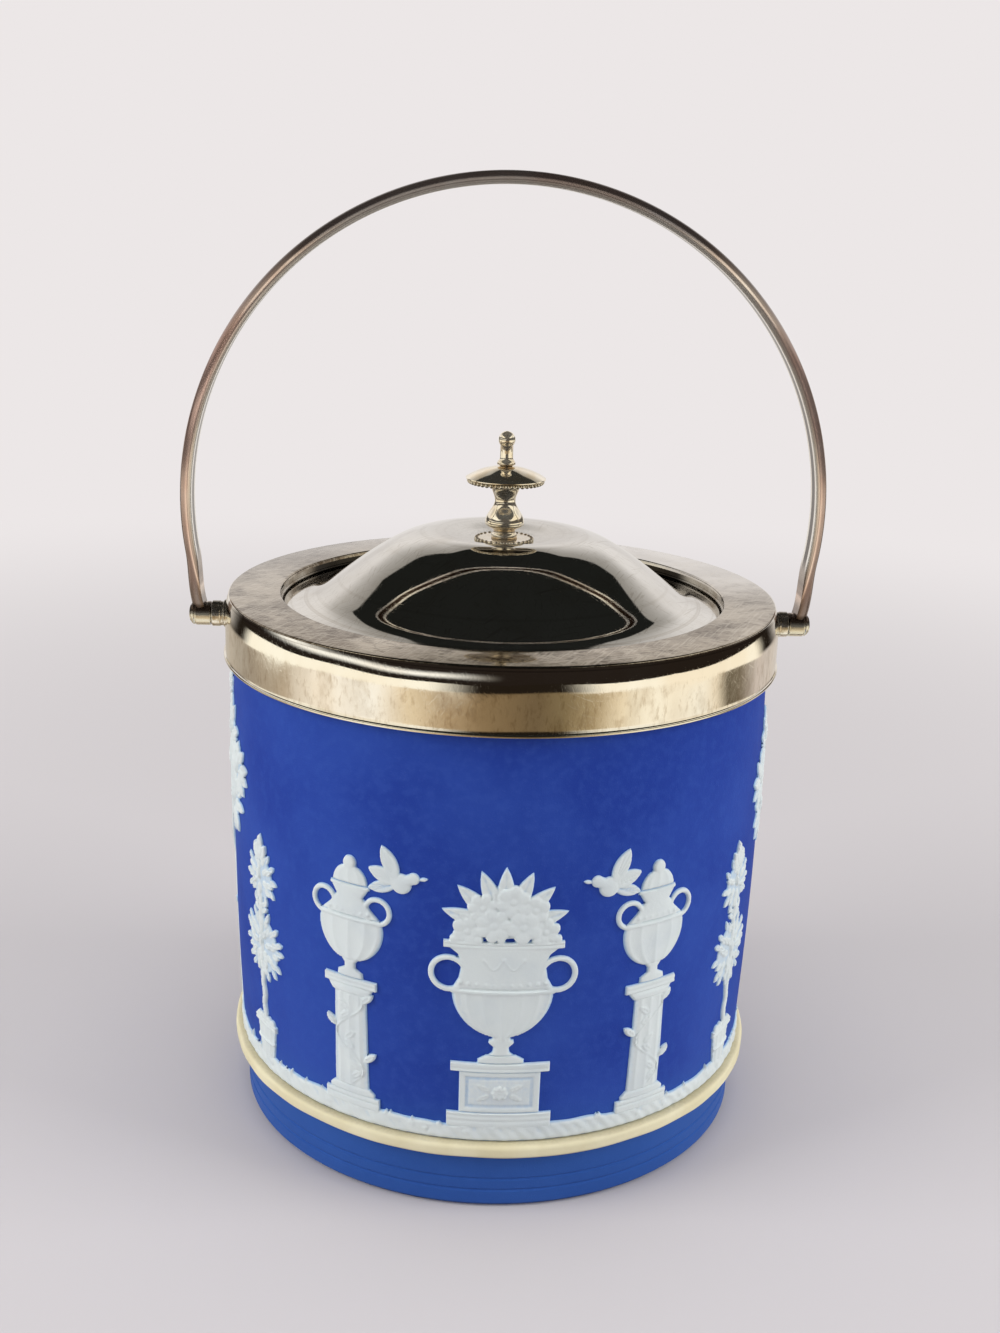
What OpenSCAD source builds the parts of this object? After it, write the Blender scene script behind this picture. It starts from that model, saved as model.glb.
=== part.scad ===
// Biscuit jar: a stoneware pot with applied white relief, a plated metal collar,
// a drop-in domed lid with a turned finial, and a swing handle on two pivots.
// Millimetres, +Z up. The origin is the centre of the foot, on the table.
// The handle swings about an axis along X, and the front of the jar faces -Y.

/* [Pot] */
// Largest radius of the wall, which the rest of the jar follows
belly_r = 62.8; // [54:0.1:78]
// How far the plain foot stands in from the largest radius
foot_in = 2.4; // [1:0.1:5]
// Height of the plain foot below the cream band
foot_h = 13.9; // [8:0.1:25]
// How far the wall stands in just above the cream band
base_in = 1.6; // [0.5:0.1:4]
// Height of the wall's largest radius
belly_z = 76; // [40:1:100]
// Height of the pot to its lip
pot_h = 120.6; // [90:0.1:180]
// Thickness of the pot's wall at its largest radius
pot_wall_t = 5.4; // [4.4:0.1:7]
// Thickness of the pot's floor
floor_t = 5.2; // [3:0.1:9]
// Radius of the bore's inside bottom corner
bore_corner_r = 9; // [3:0.5:14]
// Width of the ring that the pot stands on
foot_ring_w = 8; // [4:0.5:14]
// Depth of the hollow under the foot
foot_hollow = 1.8; // [0.5:0.1:3]
// Radius of the rounding at the pot's lip
lip_round = 1.6; // [0.5:0.1:2.4]
// Heights of the two turned lines on the foot
foot_line_z = [4.2, 7.0];
// Depth of a turned line
foot_line_d = 0.3; // [0.1:0.05:0.6]

/* [Applied clay] */
// Height of the cream band
band_h = 3.3; // [2:0.1:6]
// How far the cream band stands out from the wall
band_proud = 2.3; // [1:0.1:4]
// Height of the white ground strip above the band
ground_h = 4.2; // [2:0.1:8]
// Thickness of the white relief
relief_t = 0.9; // [0.4:0.05:1.4]
// Size of one drawing unit of the relief
relief_unit = 1; // [0.7:0.01:1]
// Size of the urns, as a share of the drawing
urn_size = 0.77; // [0.5:0.01:1]
// Size of the bay trees, as a share of the drawing
bay_tree_size = 0.72; // [0.5:0.01:1]
// Size of the covered vases, as a share of the drawing
vase_size = 0.95; // [0.5:0.01:1]
// Size of the doves, as a share of the drawing
dove_size = 0.8; // [0.5:0.01:1]
// Height of the doves above the ground strip, in drawing units
dove_z = 55; // [54:1:70]
// Clear wall between the relief and the collar
frieze_gap = 0.6; // [0.3:0.1:6]
// Glue line behind the relief and between its pieces
slip_gap = 0.02; // [0.01:0.01:0.1]

/* [Collar] */
// How far the collar's upright wall stands out from the pot's largest radius
collar_over = 1.4; // [1.2:0.1:4]
// Height of the collar
collar_h = 14.5; // [10:0.1:24]
// Thickness of the collar's sheet metal
sheet_t = 0.9; // [0.6:0.05:1.4]
// Height of the part of the wall that leans in below the top plate
shoulder_h = 5.6; // [2:0.1:8]
// How far the wall leans in at the top plate
shoulder_in = 1.0; // [0.2:0.1:1.5]
// Height of the rolled bead at the collar's lower edge
hem_h = 0.9; // [0.4:0.1:2]
// How far the rolled bead stands out
hem_proud = 0.3; // [0.1:0.05:0.6]
// Thickness of the plaster between the pot's lip and the top plate
plaster_t = 3.2; // [1.5:0.1:6]
// Length of the plaster inside the pot's lip
plaster_leg = 4; // [2:0.1:7]

/* [Throat] */
// Width of the collar's top plate
plate_w = 11.8; // [10:0.1:16]
// Depth from the collar's top to the ledge that carries the lid
ledge_z = 4.7; // [4:0.1:9]
// Width of the ledge
ledge_w = 2.6; // [1.5:0.1:4]
// Radius of the fine bead half way down the throat
throat_bead_r = 0.35; // [0.1:0.05:0.6]

/* [Lid] */
// Gap between the lid's edge and the throat, with room for the bead
lid_play = 0.6; // [0.4:0.05:1]
// Gap between the lid and its ledge
seat_gap = 0.1; // [0.05:0.05:0.3]
// Thickness of the lid's sheet metal
lid_t = 1.0; // [0.7:0.05:1.5]
// Radius of the crown round the finial's shallow dish, as a share of the lid's radius
crown_k = 0.3; // [0.24:0.005:0.34]
// Depth of the shallow dish in the crown
dish_d = 2.0; // [0.3:0.1:2.5]
// Radius where the crown's brow ends, as a share of the lid's radius
brow_k = 0.512; // [0.4:0.002:0.6]
// Slope at the end of the brow, in degrees
brow_slope = 30.5; // [15:0.5:34]
// Radius where the lid's shoulder ends, as a share of the lid's radius
shoulder_k = 0.689; // [0.62:0.001:0.75]
// Radius where the flare begins, as a share of the lid's radius
flare_k = 0.81; // [0.77:0.001:0.87]
// Radius where the flare runs out into the lid's flat rim, as a share of the lid's radius
rim_k = 0.895; // [0.885:0.005:0.95]
// Slope of the lid's side, in degrees
side_slope = 37; // [35:0.1:45]
// Slope of the lid's rim, in degrees
edge_slope = 13; // [5:0.5:20]
// Width of the flat landing under the lid's edge
landing_w = 1.2; // [0.8:0.1:2]
// Thickness of the bezel's flange
flange_t = 0.75; // [0.5:0.05:1]
// Depth of the bezel below the ledge's top
bezel_depth = 5; // [3:0.1:8]
// Gap between the bezel and the ledge's bore
bezel_play = 0.45; // [0.2:0.05:0.8]

/* [Finial] */
// Radius of the beaded foot plate
foot_plate_r = 6.9; // [5:0.1:9]
// Thickness of the foot plate
foot_plate_t = 0.5; // [0.4:0.1:1.5]
// Height of the baluster between the foot plate and the disc
stem_h = 12.9; // [10:0.1:16]
// Radius of the baluster's foot
stem_foot_r = 3.0; // [2.7:0.1:4]
// Radius of the baluster's neck
stem_neck_r = 2.5; // [2.3:0.1:3.5]
// Radius of the baluster's ring
stem_ring_r = 4.5; // [3.6:0.05:6]
// Radius of the baluster's waist
stem_waist_r = 2.4; // [2.2:0.05:3]
// Radius of the baluster under the disc
stem_top_r = 3.3; // [2.6:0.1:5]
// Radius of the disc's thin rim
disc_r = 9.2; // [8:0.1:12]
// Thickness of the disc with its rim
disc_t = 1.1; // [0.9:0.1:2]
// Thickness of the disc's rim
disc_rim_t = 0.35; // [0.25:0.05:0.5]
// Number of pearls under the disc's rim
disc_pearls = 44; // [24:1:44]
// Radius of a pearl on the disc
disc_pearl_r = 0.56; // [0.4:0.01:0.65]
// Number of pearls round the foot plate
foot_pearls = 30; // [20:1:34]
// Radius of a pearl on the foot plate
foot_pearl_r = 0.5; // [0.35:0.01:0.55]
// Height of the disc's domed top
disc_dome_h = 2.7; // [1:0.1:3.5]
// Radius of the ball on the tip
ball_r = 1.95; // [1.2:0.05:3]
// Height of the tip from the disc's dome to the ball's centre
tip_h = 6.0; // [5:0.1:10]
// Radius of the tip's foot
tip_foot_r = 1.5; // [1.2:0.05:1.8]
// Radius of the tip's ring
tip_ring_r = 2.15; // [1.8:0.05:3]
// Radius of the tip's shaft below the ball
tip_shaft_r = 1.5; // [1.1:0.05:1.8]
// Radius of the screwed stud
stud_r = 1.5; // [1:0.05:1.7]
// Clearance of the stud in the lid and the foot plate
stud_play = 0.1; // [0.05:0.05:0.3]
// Width of the nut across its flats
nut_af = 6.4; // [5.5:0.1:8]
// Height of the nut
nut_h = 2.4; // [1.5:0.1:4]
// Radius of the washer under the nut
washer_r = 5.0; // [4:0.1:7]
// Thickness of the washer
washer_t = 0.7; // [0.4:0.1:1.2]

/* [Handle] */
// Height of the bow's centre above the pivots
bow_rise = 26.3; // [15:0.1:40]
// How far the bow's outer face reaches over the eyes at the pivots
strap_over = 1.8; // [1.4:0.1:3]
// Radius of the half-round section of the bow
bow_section_r = 2.95; // [2:0.05:4]
// Depth of the pivots below the collar's top
pivot_drop = 7.0; // [5:0.1:9]
// Radius of the fixed lugs on the collar
lug_r = 3.0; // [2.6:0.1:4]
// How far a lug stands out from the collar
lug_len = 3.4; // [2:0.1:6]
// Radius of the handle's eyes
eye_r = 2.8; // [2.4:0.1:4]
// Length of the handle's eyes
eye_len = 4.6; // [3:0.1:8]
// Chamfer at the outer end of the eyes
eye_chamfer = 0.5; // [0.2:0.1:0.8]
// Gap between a lug and an eye
eye_gap = 0.2; // [0.1:0.05:0.4]
// Radius of the pivot pins
pin_r = 1.3; // [1:0.05:1.8]
// Radial clearance of a pin in its eye
pin_play = 0.06; // [0.03:0.01:0.1]
// Radius of the riveted head of a pin
pin_head_r = 1.9; // [1.5:0.1:2.2]
// Thickness of the riveted head
pin_head_t = 0.5; // [0.3:0.1:1]

/* [Hidden] */
$fn = 96;

foot_r = belly_r - foot_in;
base_wall_r = belly_r - base_in;
bore_r = belly_r - pot_wall_t;
collar_r = belly_r + collar_over;
throat_r = collar_r - shoulder_in - plate_w;
wall_steps = 6;                          // straight steps that the wall's curve is made of
wall_z0 = foot_h + band_h;               // top of the cream band
ground_z = wall_z0 + ground_h;           // top of the ground strip
collar_top = pot_h + plaster_t + sheet_t;
collar_bottom = collar_top - collar_h;
collar_bore_r = collar_r - sheet_t;
throat_out_r = throat_r + sheet_t;
ledge_top = collar_top - ledge_z;
ledge_r = throat_r - ledge_w;            // bore of the ledge
lid_r = throat_r - lid_play;
flange_z = ledge_top + seat_gap;         // underside of the bezel's flange
lid_edge_z = flange_z + flange_t + lid_t; // top of the lid's edge
bezel_r = ledge_r - bezel_play;
crown_r = crown_k * lid_r;
brow_r = brow_k * lid_r;
shoulder_r = shoulder_k * lid_r;
flare_r = flare_k * lid_r;
rim_r = rim_k * lid_r;
pivot_z = collar_top - pivot_drop;
lug_end = collar_r + lug_len;
eye_start = lug_end + eye_gap;
eye_end = eye_start + eye_len;
bow_z = pivot_z + bow_rise;              // centre of the bow
bow_r = norm([eye_start + strap_over, bow_rise]); // outer radius of the bow

// The relief is drawn in units. A unit shrinks where the wall is too low or too narrow.
frieze_units = 88.2;                     // height of the drawing
girth_units = 62.8;                      // radius of the wall that the drawing goes round
frieze_h = collar_bottom - frieze_gap - ground_z;
unit = min(relief_unit, frieze_h / frieze_units, belly_r / girth_units);

// Points along an arc, from angle a0 to a1
function arc(cx, cz, r, a0, a1, n = 8) =
    [for (i = [0:n]) let (a = a0 + (a1 - a0) * i / n) [cx + r * cos(a), cz + r * sin(a)]];

// Radius of the pot's wall at a height: a shallow barrel curve
function wall_r(z) =
    belly_r - (belly_r - base_wall_r) * pow((z - belly_z) / (belly_z - wall_z0), 2);

// The wall's curve in straight steps, moved out by d, from height z0 to z1
wall_z = [for (i = [0:wall_steps]) wall_z0 + (pot_h - wall_z0) * i / wall_steps];
function wall_at(z) = lookup(z, [for (h = wall_z) [h, wall_r(h)]]);
function wall_line(d, z0, z1) = concat([[wall_at(z0) + d, z0]],
    [for (h = wall_z) if (h > z0 + 0.01 && h < z1 - 0.01) [wall_r(h) + d, h]],
    [[wall_at(z1) + d, z1]]);
function reversed(v) = [for (i = [len(v) - 1:-1:0]) v[i]];

// ---- Stoneware -------------------------------------------------------------

function turned_line(z) =
    [[foot_r, z - foot_line_d], [foot_r - foot_line_d, z], [foot_r, z + foot_line_d]];

module pot() {
    lip_r = wall_at(pot_h - lip_round);
    floor_z = foot_hollow + floor_t;
    color("#3a4f97")
    rotate_extrude()
    polygon(concat(
        [[0, foot_hollow], [foot_r - foot_ring_w - foot_hollow, foot_hollow]],
        [[foot_r - foot_ring_w, 0], [foot_r - 1, 0], [foot_r, 1]],
        turned_line(foot_line_z[0]), turned_line(foot_line_z[1]),
        [[foot_r, foot_h], [base_wall_r, foot_h]],
        wall_line(0, wall_z0, pot_h - lip_round),
        arc(lip_r - lip_round, pot_h - lip_round, lip_round, 15, 90, 5),
        arc(bore_r + lip_round, pot_h - lip_round, lip_round, 90, 180, 5),
        arc(bore_r - bore_corner_r, floor_z + bore_corner_r, bore_corner_r, 0, -90, 8),
        [[0, floor_z]]));
}

module cream_band() {
    round_r = 0.9;
    out_r = base_wall_r + band_proud;
    color("#e8e0bb")
    rotate_extrude()
    polygon(concat(
        [[base_wall_r + slip_gap, foot_h]],
        arc(out_r - round_r, foot_h + round_r, round_r, -90, 0, 5),
        arc(out_r - round_r, wall_z0 - round_r, round_r, 0, 90, 5),
        [[base_wall_r + slip_gap, wall_z0]]));
}

// ---- Applied white relief --------------------------------------------------

// A skin on the pot's wall, between two heights
module wall_skin(z0, z1) {
    rotate_extrude()
    polygon(concat(wall_line(slip_gap, z0, z1),
        reversed(wall_line(slip_gap + relief_t, z0, z1))));
}

module ground_strip() {
    color("#dfe6ea") wall_skin(wall_z0 + slip_gap, ground_z);
}

// A flat outline laid on the wall: x runs to the right round the pot and y runs up
// from the ground strip. The angle turns it round the pot from the front.
module applied(angle, size = 1) {
    inner_r = 0.89 * base_wall_r;
    color("#e4eaec")
    intersection() {
        rotate([0, 0, angle])
        translate([0, -inner_r, ground_z + slip_gap])
        rotate([90, 0, 0])
        linear_extrude(1.1 * (belly_r + relief_t) - inner_r)
        scale(unit * size) children();
        wall_skin(ground_z, ground_z + frieze_h);
    }
}

// A pointed leaf that grows up from the origin
module leaf(length, width) {
    r = (length * length + width * width) / (4 * width);
    intersection() {
        translate([r - width / 2, length / 2]) circle(r);
        translate([width / 2 - r, length / 2]) circle(r);
    }
}

// A row of blocks that stand on each other: [width, height] from the bottom
module stacked(blocks, i = 0, y = 0) {
    if (i < len(blocks)) {
        translate([-blocks[i][0] / 2, y]) square([blocks[i][0], blocks[i][1] + 0.01]);
        stacked(blocks, i + 1, y + blocks[i][1]);
    }
}

// A ball of foliage with pointed leaves round it
module leaf_ball(r, leaves) {
    circle(r);
    for (i = [0:leaves - 1])
        rotate(360 * i / leaves) translate([0, r - 1.2]) leaf(4.2, 2.4);
}

module urn_outline() {
    stacked([[30, 4], [23, 13], [28, 3], [13, 2.5], [6, 5]]);
    intersection() {
        translate([0, 42]) circle(14);
        translate([-15, 26]) square([30, 16]);
    }
    polygon([[-14, 41.9], [14, 41.9], [11.5, 50], [15.5, 55], [-15.5, 55], [-11.5, 50]]);
    translate([-16.5, 54.9]) square([33, 2.2]);
    for (side = [-1, 1])
        translate([side * 15, 47]) difference() {
            circle(5.6);
            circle(3.9);
        }
    for (p = [[-10, 60, 4.6], [-3, 62, 5.2], [5, 61.5, 5], [11, 60, 4.2],
            [-6, 67, 4.4], [2, 69, 4.8], [8, 66.5, 4.2]])
        translate([p[0], p[1]]) circle(p[2]);
    for (a = [-75, -48, -24, 0, 22, 47, 74])
        translate([0, 61]) rotate(a) leaf(18, 5);
}

module bay_tree_outline() {
    polygon([[-4.6, 0], [4.6, 0], [6.4, 10], [-6.4, 10]]);
    translate([-7.2, 9.9]) square([14.4, 2.2]);
    translate([-1.2, 12]) square([2.4, 46]);
    translate([0, 39]) leaf_ball(9.5, 15);
    translate([0, 62]) leaf_ball(7, 12);
    translate([0, 68]) leaf(9, 4);
}

module vase_outline() {
    stacked([[15, 2.5], [12, 2], [9, 24], [11.5, 1.8], [14, 2.2]]);
    translate([0, 32.5]) {
        stacked([[7, 1.6], [3, 3]]);
        intersection() {
            translate([0, 12.5]) circle(8.5);
            translate([-9, 4.2]) square([18, 11]);
        }
        polygon([[-8, 15], [8, 15], [3.4, 20], [5, 22.5], [-5, 22.5], [-3.4, 20]]);
        translate([0, 22.4]) intersection() {
            circle(4.6);
            translate([-5, 0]) square([10, 5]);
        }
        translate([0, 28]) circle(1.7);
        for (side = [-1, 1])
            translate([side * 7, 17.5]) difference() {
                circle(3.6);
                circle(2.3);
            }
    }
}

module side_tree_outline() {
    polygon([[-4.2, 0], [4.2, 0], [2.2, 10], [1.9, 34], [3.4, 46], [-3.2, 46],
        [-1.9, 32], [-2.2, 10]]);
    for (bough = [[-38, 30], [36, 28], [-16, 34], [18, 34]])
        translate([0, 36]) rotate(bough[0]) translate([-1, 0]) square([2, bough[1]]);
    for (p = [[-15, 56, 6.4], [-19, 64, 5], [-7, 64, 6.8], [-12, 72, 5.6], [1, 72, 6.6],
            [8, 63, 6.6], [16, 57, 6.2], [20, 65, 4.8], [12, 72, 5.8], [3, 80, 5]])
        translate([p[0], p[1]]) leaf_ball(p[2] - 1.6, 9);
}

module dove_outline() {
    circle(2.9);
    translate([3.4, 1.9]) circle(1.7);
    translate([4.6, 1.8]) rotate(-80) leaf(2.8, 1.2);
    rotate(72) leaf(10, 4.4);
    translate([-0.8, 0.6]) rotate(28) leaf(10.5, 4.4);
    translate([-1, -0.6]) rotate(104) leaf(9, 3.6);
}

module urn_relief() {
    for (a = [0, 180]) applied(a, urn_size) urn_outline();
}

module bay_tree_relief() {
    for (a = [-58, 58, 122, 238]) applied(a, bay_tree_size) bay_tree_outline();
}

module vase_relief() {
    for (a = [-31, 31, 149, 211]) applied(a, vase_size) vase_outline();
}

module side_tree_relief() {
    for (a = [90, 270]) applied(a) side_tree_outline();
}

module dove_relief() {
    for (a = [-20, 160])
        applied(a, dove_size) translate([0, dove_z / dove_size]) dove_outline();
    for (a = [20, 200])
        applied(a, dove_size) translate([0, dove_z / dove_size]) mirror([1, 0]) dove_outline();
}

// ---- Metal collar ----------------------------------------------------------

// Outer radius of the collar's wall at a height: upright, then a curved lean
function collar_at(z) = collar_r
    - shoulder_in * pow(max(0, z - (collar_top - shoulder_h)) / shoulder_h, 2);

module collar_wall() {
    n = 8;
    top = collar_top - sheet_t;
    lean_z = collar_top - shoulder_h;
    lean = [for (i = [0:n]) let (z = lean_z + (top - lean_z) * i / n) [collar_at(z), z]];
    color("#b9b2a2")
    difference() {
        rotate_extrude()
        polygon(concat(
            [[collar_bore_r, collar_bottom], [collar_r, collar_bottom]],
            [[collar_r + hem_proud, collar_bottom + 0.3 * hem_h]],
            [[collar_r + hem_proud, collar_bottom + 0.7 * hem_h]],
            [[collar_r, collar_bottom + hem_h]],
            lean,
            [for (p = reversed(lean)) [p[0] - sheet_t, p[1]]]));
        for (side = [-1, 1])
            translate([side * (collar_r - 5), 0, pivot_z])
            rotate([0, side * 90, 0]) cylinder(r = pin_r, h = 10);
    }
}

module collar_plate() {
    edge_r = collar_at(collar_top);
    soft = 0.25;
    color("#cbc7bd")
    rotate_extrude()
    polygon([[throat_r, collar_top - sheet_t], [edge_r, collar_top - sheet_t],
        [edge_r, collar_top - soft], [edge_r - soft, collar_top],
        [throat_r + soft, collar_top], [throat_r, collar_top - soft]]);
}

module throat_ring() {
    top = collar_top - sheet_t;
    bead_z = collar_top - ledge_z / 2;
    color("#b9b5aa")
    rotate_extrude()
    polygon(concat(
        [[throat_out_r, top], [throat_out_r, ledge_top - sheet_t]],
        [[ledge_r, ledge_top - sheet_t], [ledge_r, ledge_top], [throat_r, ledge_top]],
        arc(throat_r, bead_z, throat_bead_r, 270, 90, 6),
        [[throat_r, top]]));
}

// Plaster fills the channel inside the collar and grips the pot's lip
module plaster_bedding() {
    g = slip_gap;
    top = collar_top - sheet_t - g;
    low = collar_bottom + 1;
    n = 6;
    out = [for (i = [0:n]) let (z = low + (top - low) * i / n) [collar_at(z) - sheet_t - 0.06, z]];
    lip_r = wall_at(pot_h - lip_round);
    color("#d8d2c4")
    difference() {
        rotate_extrude()
        polygon(concat(
            [for (h = reversed(wall_line(g, low, pot_h))) h],
            [[wall_at(low) + g, low]],
            out,
            [[throat_out_r + g, top], [throat_out_r + g, pot_h - plaster_leg]],
            [[bore_r - g, pot_h - plaster_leg], [bore_r - g, pot_h + g]],
            [[wall_at(pot_h) + g, pot_h + g]]));
        for (side = [-1, 1])
            translate([side * (collar_r - 12), 0, pivot_z])
            rotate([0, side * 90, 0]) cylinder(r = pin_r + 1, h = 20);
    }
}

// ---- Pivots ----------------------------------------------------------------

// Turns a shape made along +Z to lie along X, on the left (-1) or right (1) side
module on_pivot(side) {
    translate([0, 0, pivot_z]) rotate([0, side * 90, 0]) children();
}

module lug(side) {
    color("#8f887b")
    difference() {
        on_pivot(side) rotate_extrude()
            polygon([[0, collar_r - 2], [lug_r, collar_r - 2], [lug_r, lug_end - 0.3],
                [lug_r - 0.3, lug_end], [0, lug_end]]);
        cylinder(r = collar_r + slip_gap, h = 2 * collar_top);
        on_pivot(side) translate([0, 0, collar_r - 6]) cylinder(r = pin_r, h = lug_len + 12);
    }
}

module left_lug() { lug(-1); }
module right_lug() { lug(1); }

module pivot_pin(side) {
    head_z = eye_end + 0.1;
    color("#6f675c")
    on_pivot(side) rotate_extrude()
        polygon([[0, collar_bore_r - 0.6], [pin_r, collar_bore_r - 0.6], [pin_r, head_z],
            [pin_head_r, head_z], [pin_head_r, head_z + 0.5 * pin_head_t],
            [0.55 * pin_head_r, head_z + pin_head_t], [0, head_z + pin_head_t]]);
}

module left_pivot_pin() { pivot_pin(-1); }
module right_pivot_pin() { pivot_pin(1); }

// ---- Handle ----------------------------------------------------------------

module bow_handle() {
    end_angle = asin((bow_rise - 1) / (bow_r - bow_section_r));
    lug_room = 0.35;
    color("#6b5f57")
    difference() {
        union() {
            translate([0, 0, bow_z]) rotate([90, 0, 0])
            rotate([0, 0, -end_angle]) rotate_extrude(angle = 180 + 2 * end_angle)
                intersection() {
                    translate([bow_r - bow_section_r, 0]) circle(bow_section_r);
                    translate([bow_r - bow_section_r, -bow_section_r])
                        square([bow_section_r, 2 * bow_section_r]);
                }
            for (side = [-1, 1])
                on_pivot(side) rotate_extrude()
                    polygon([[0, eye_start], [eye_r, eye_start],
                        [eye_r, eye_end - eye_chamfer], [eye_r - eye_chamfer, eye_end],
                        [0, eye_end]]);
        }
        for (side = [-1, 1]) {
            on_pivot(side) translate([0, 0, eye_start - 3])
                cylinder(r = pin_r + pin_play, h = eye_len + 6);
            on_pivot(side) translate([0, 0, collar_r - 3])
                cylinder(r = lug_r + lug_room, h = eye_start - collar_r + 3);
        }
    }
}

// ---- Lid -------------------------------------------------------------------

// The lid's outer line from the edge inwards: a gently sloping rim, a concave flare, a
// straight side, a rounded shoulder, the crown's brow and a shallow dish for the finial.
// Each arc runs between two radii, r1 inside r0, and two slopes.
dish_r = foot_plate_r + 0.5;
function turn_r(r0, r1, a0, a1) = abs((r0 - r1) / (sin(a1) - sin(a0)));
function turn_h(r0, r1, a0, a1) = turn_r(r0, r1, a0, a1) * abs(cos(a1) - cos(a0));
flare_low_z = lid_edge_z + (lid_r - rim_r) * tan(edge_slope);
flare_top_z = flare_low_z + turn_h(rim_r, flare_r, edge_slope, side_slope);
shoulder_low_z = flare_top_z + (flare_r - shoulder_r) * tan(side_slope);
brow_low_z = shoulder_low_z + turn_h(shoulder_r, brow_r, side_slope, brow_slope);
crest_z = brow_low_z + turn_h(brow_r, crown_r, brow_slope, 0);
crown_z = crest_z - dish_d;

// Points of one arc with their slopes: [radius, height, slope]
function bend(r0, r1, z0, a0, a1, n) = let (t = turn_r(r0, r1, a0, a1))
    [for (i = [0:n]) let (a = a0 + (a1 - a0) * i / n)
        [r0 - t * abs(sin(a) - sin(a0)), z0 + t * abs(cos(a) - cos(a0)), a]];
function dish(n) = [for (i = [1:n]) let (t = 180 * i / n, w = crown_r - dish_r)
    [crown_r - w * i / n, crest_z - dish_d * (1 - cos(t)) / 2,
        -atan(dish_d * PI / 2 / w * sin(t))]];
lid_line = concat(
    [[lid_r, lid_edge_z, edge_slope]],
    bend(rim_r, flare_r, flare_low_z, edge_slope, side_slope, 7),
    bend(shoulder_r, brow_r, shoulder_low_z, side_slope, brow_slope, 8),
    [for (p = bend(brow_r, crown_r, brow_low_z, brow_slope, 0, 4)) if (p[0] < brow_r - 0.1) p],
    dish(6), [[0, crown_z, 0]]);

module lid_dome() {
    under = [for (p = lid_line) [max(0, p[0] - lid_t * sin(p[2])), p[1] - lid_t * cos(p[2])]];
    land_z = lid_edge_z - lid_t;
    color("#c9c8c4")
    difference() {
        rotate_extrude()
        polygon(concat(
            [[lid_r, land_z]],
            [for (p = lid_line) [p[0], p[1]]],
            [for (p = reversed(under)) if (p[0] < lid_r - landing_w && p[1] > land_z) p],
            [[lid_r - landing_w, land_z]]));
        translate([0, 0, crown_z - 3 * lid_t]) cylinder(r = stud_r + stud_play, h = 6 * lid_t);
    }
}

module lid_bezel() {
    bezel_t = 0.8;
    top = flange_z + flange_t;
    color("#a9a59b")
    rotate_extrude()
    polygon([[bezel_r - bezel_t, ledge_top - bezel_depth], [bezel_r, ledge_top - bezel_depth],
        [bezel_r, flange_z], [lid_r - 0.2, flange_z], [lid_r - 0.2, top - slip_gap],
        [bezel_r - bezel_t, top - slip_gap]]);
}

// ---- Finial ----------------------------------------------------------------

plate_z = crown_z + slip_gap;            // underside of the foot plate
stem_z = plate_z + foot_plate_t;         // underside of the baluster
disc_z = stem_z + stem_h;                // underside of the disc
tip_z = disc_z + disc_t + disc_dome_h;   // underside of the tip
stud_top = disc_z + disc_t;

// A ring of pearls
module pearls(ring_r, pearl_r, count) {
    for (i = [0:count - 1])
        rotate(360 * i / count) translate([ring_r, 0, 0]) sphere(pearl_r, $fn = 24);
}

module finial_foot_plate() {
    edge_r = foot_plate_r - 0.35;
    color("#c8c2b2")
    translate([0, 0, plate_z]) difference() {
        union() {
            cylinder(r1 = edge_r, r2 = edge_r - 0.2, h = foot_plate_t);
            translate([0, 0, foot_pearl_r]) pearls(foot_plate_r - foot_pearl_r, foot_pearl_r,
                foot_pearls);
        }
        translate([0, 0, -1]) cylinder(r = stud_r + stud_play, h = foot_plate_t + 2);
    }
}

// Half a wave between two radii, for the hollows and rings of the turned stem
function swell(r0, r1, z0, z1, n = 6) = [for (i = [1:n])
    let (t = (1 - cos(180 * i / n)) / 2) [r0 + (r1 - r0) * t, z0 + (z1 - z0) * i / n]];

module finial_stem() {
    foot_z = 0.05 * stem_h;
    neck_z = 0.13 * stem_h;
    ring_z = 0.26 * stem_h;
    waist_z = 0.68 * stem_h;
    color("#c8c2b2")
    translate([0, 0, stem_z]) difference() {
        rotate_extrude()
        polygon(concat(
            [[0, 0], [stem_foot_r, 0], [stem_foot_r, foot_z]],
            swell(stem_foot_r, stem_neck_r, foot_z, neck_z, 4),
            swell(stem_neck_r, stem_ring_r, neck_z, ring_z, 6),
            swell(stem_ring_r, stem_waist_r, ring_z + 0.04 * stem_h, waist_z, 8),
            swell(stem_waist_r, stem_top_r, waist_z, stem_h, 5),
            [[0, stem_h]]));
        translate([0, 0, -1]) cylinder(r = stud_r, h = stem_h + 2);
    }
}

module finial_disc() {
    body_r = disc_r - 2.5 * disc_pearl_r;
    rim_z = disc_t - disc_rim_t;
    dome_r = (pow(disc_r, 2) + pow(disc_dome_h, 2)) / (2 * disc_dome_h);
    dome_a = acos(disc_r / dome_r);
    color("#c8c2b2")
    translate([0, 0, disc_z]) difference() {
        union() {
            rotate_extrude()
            polygon(concat(
                [[0, 0], [body_r, 0], [body_r, rim_z], [disc_r, rim_z]],
                arc(0, disc_t + disc_dome_h - dome_r, dome_r, dome_a, 90, 9)));
            translate([0, 0, rim_z - 0.2]) pearls(disc_r - 0.35 - disc_pearl_r, disc_pearl_r,
                disc_pearls);
        }
        translate([0, 0, -1]) cylinder(r = stud_r, h = stud_top - disc_z + 1);
    }
}

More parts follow.
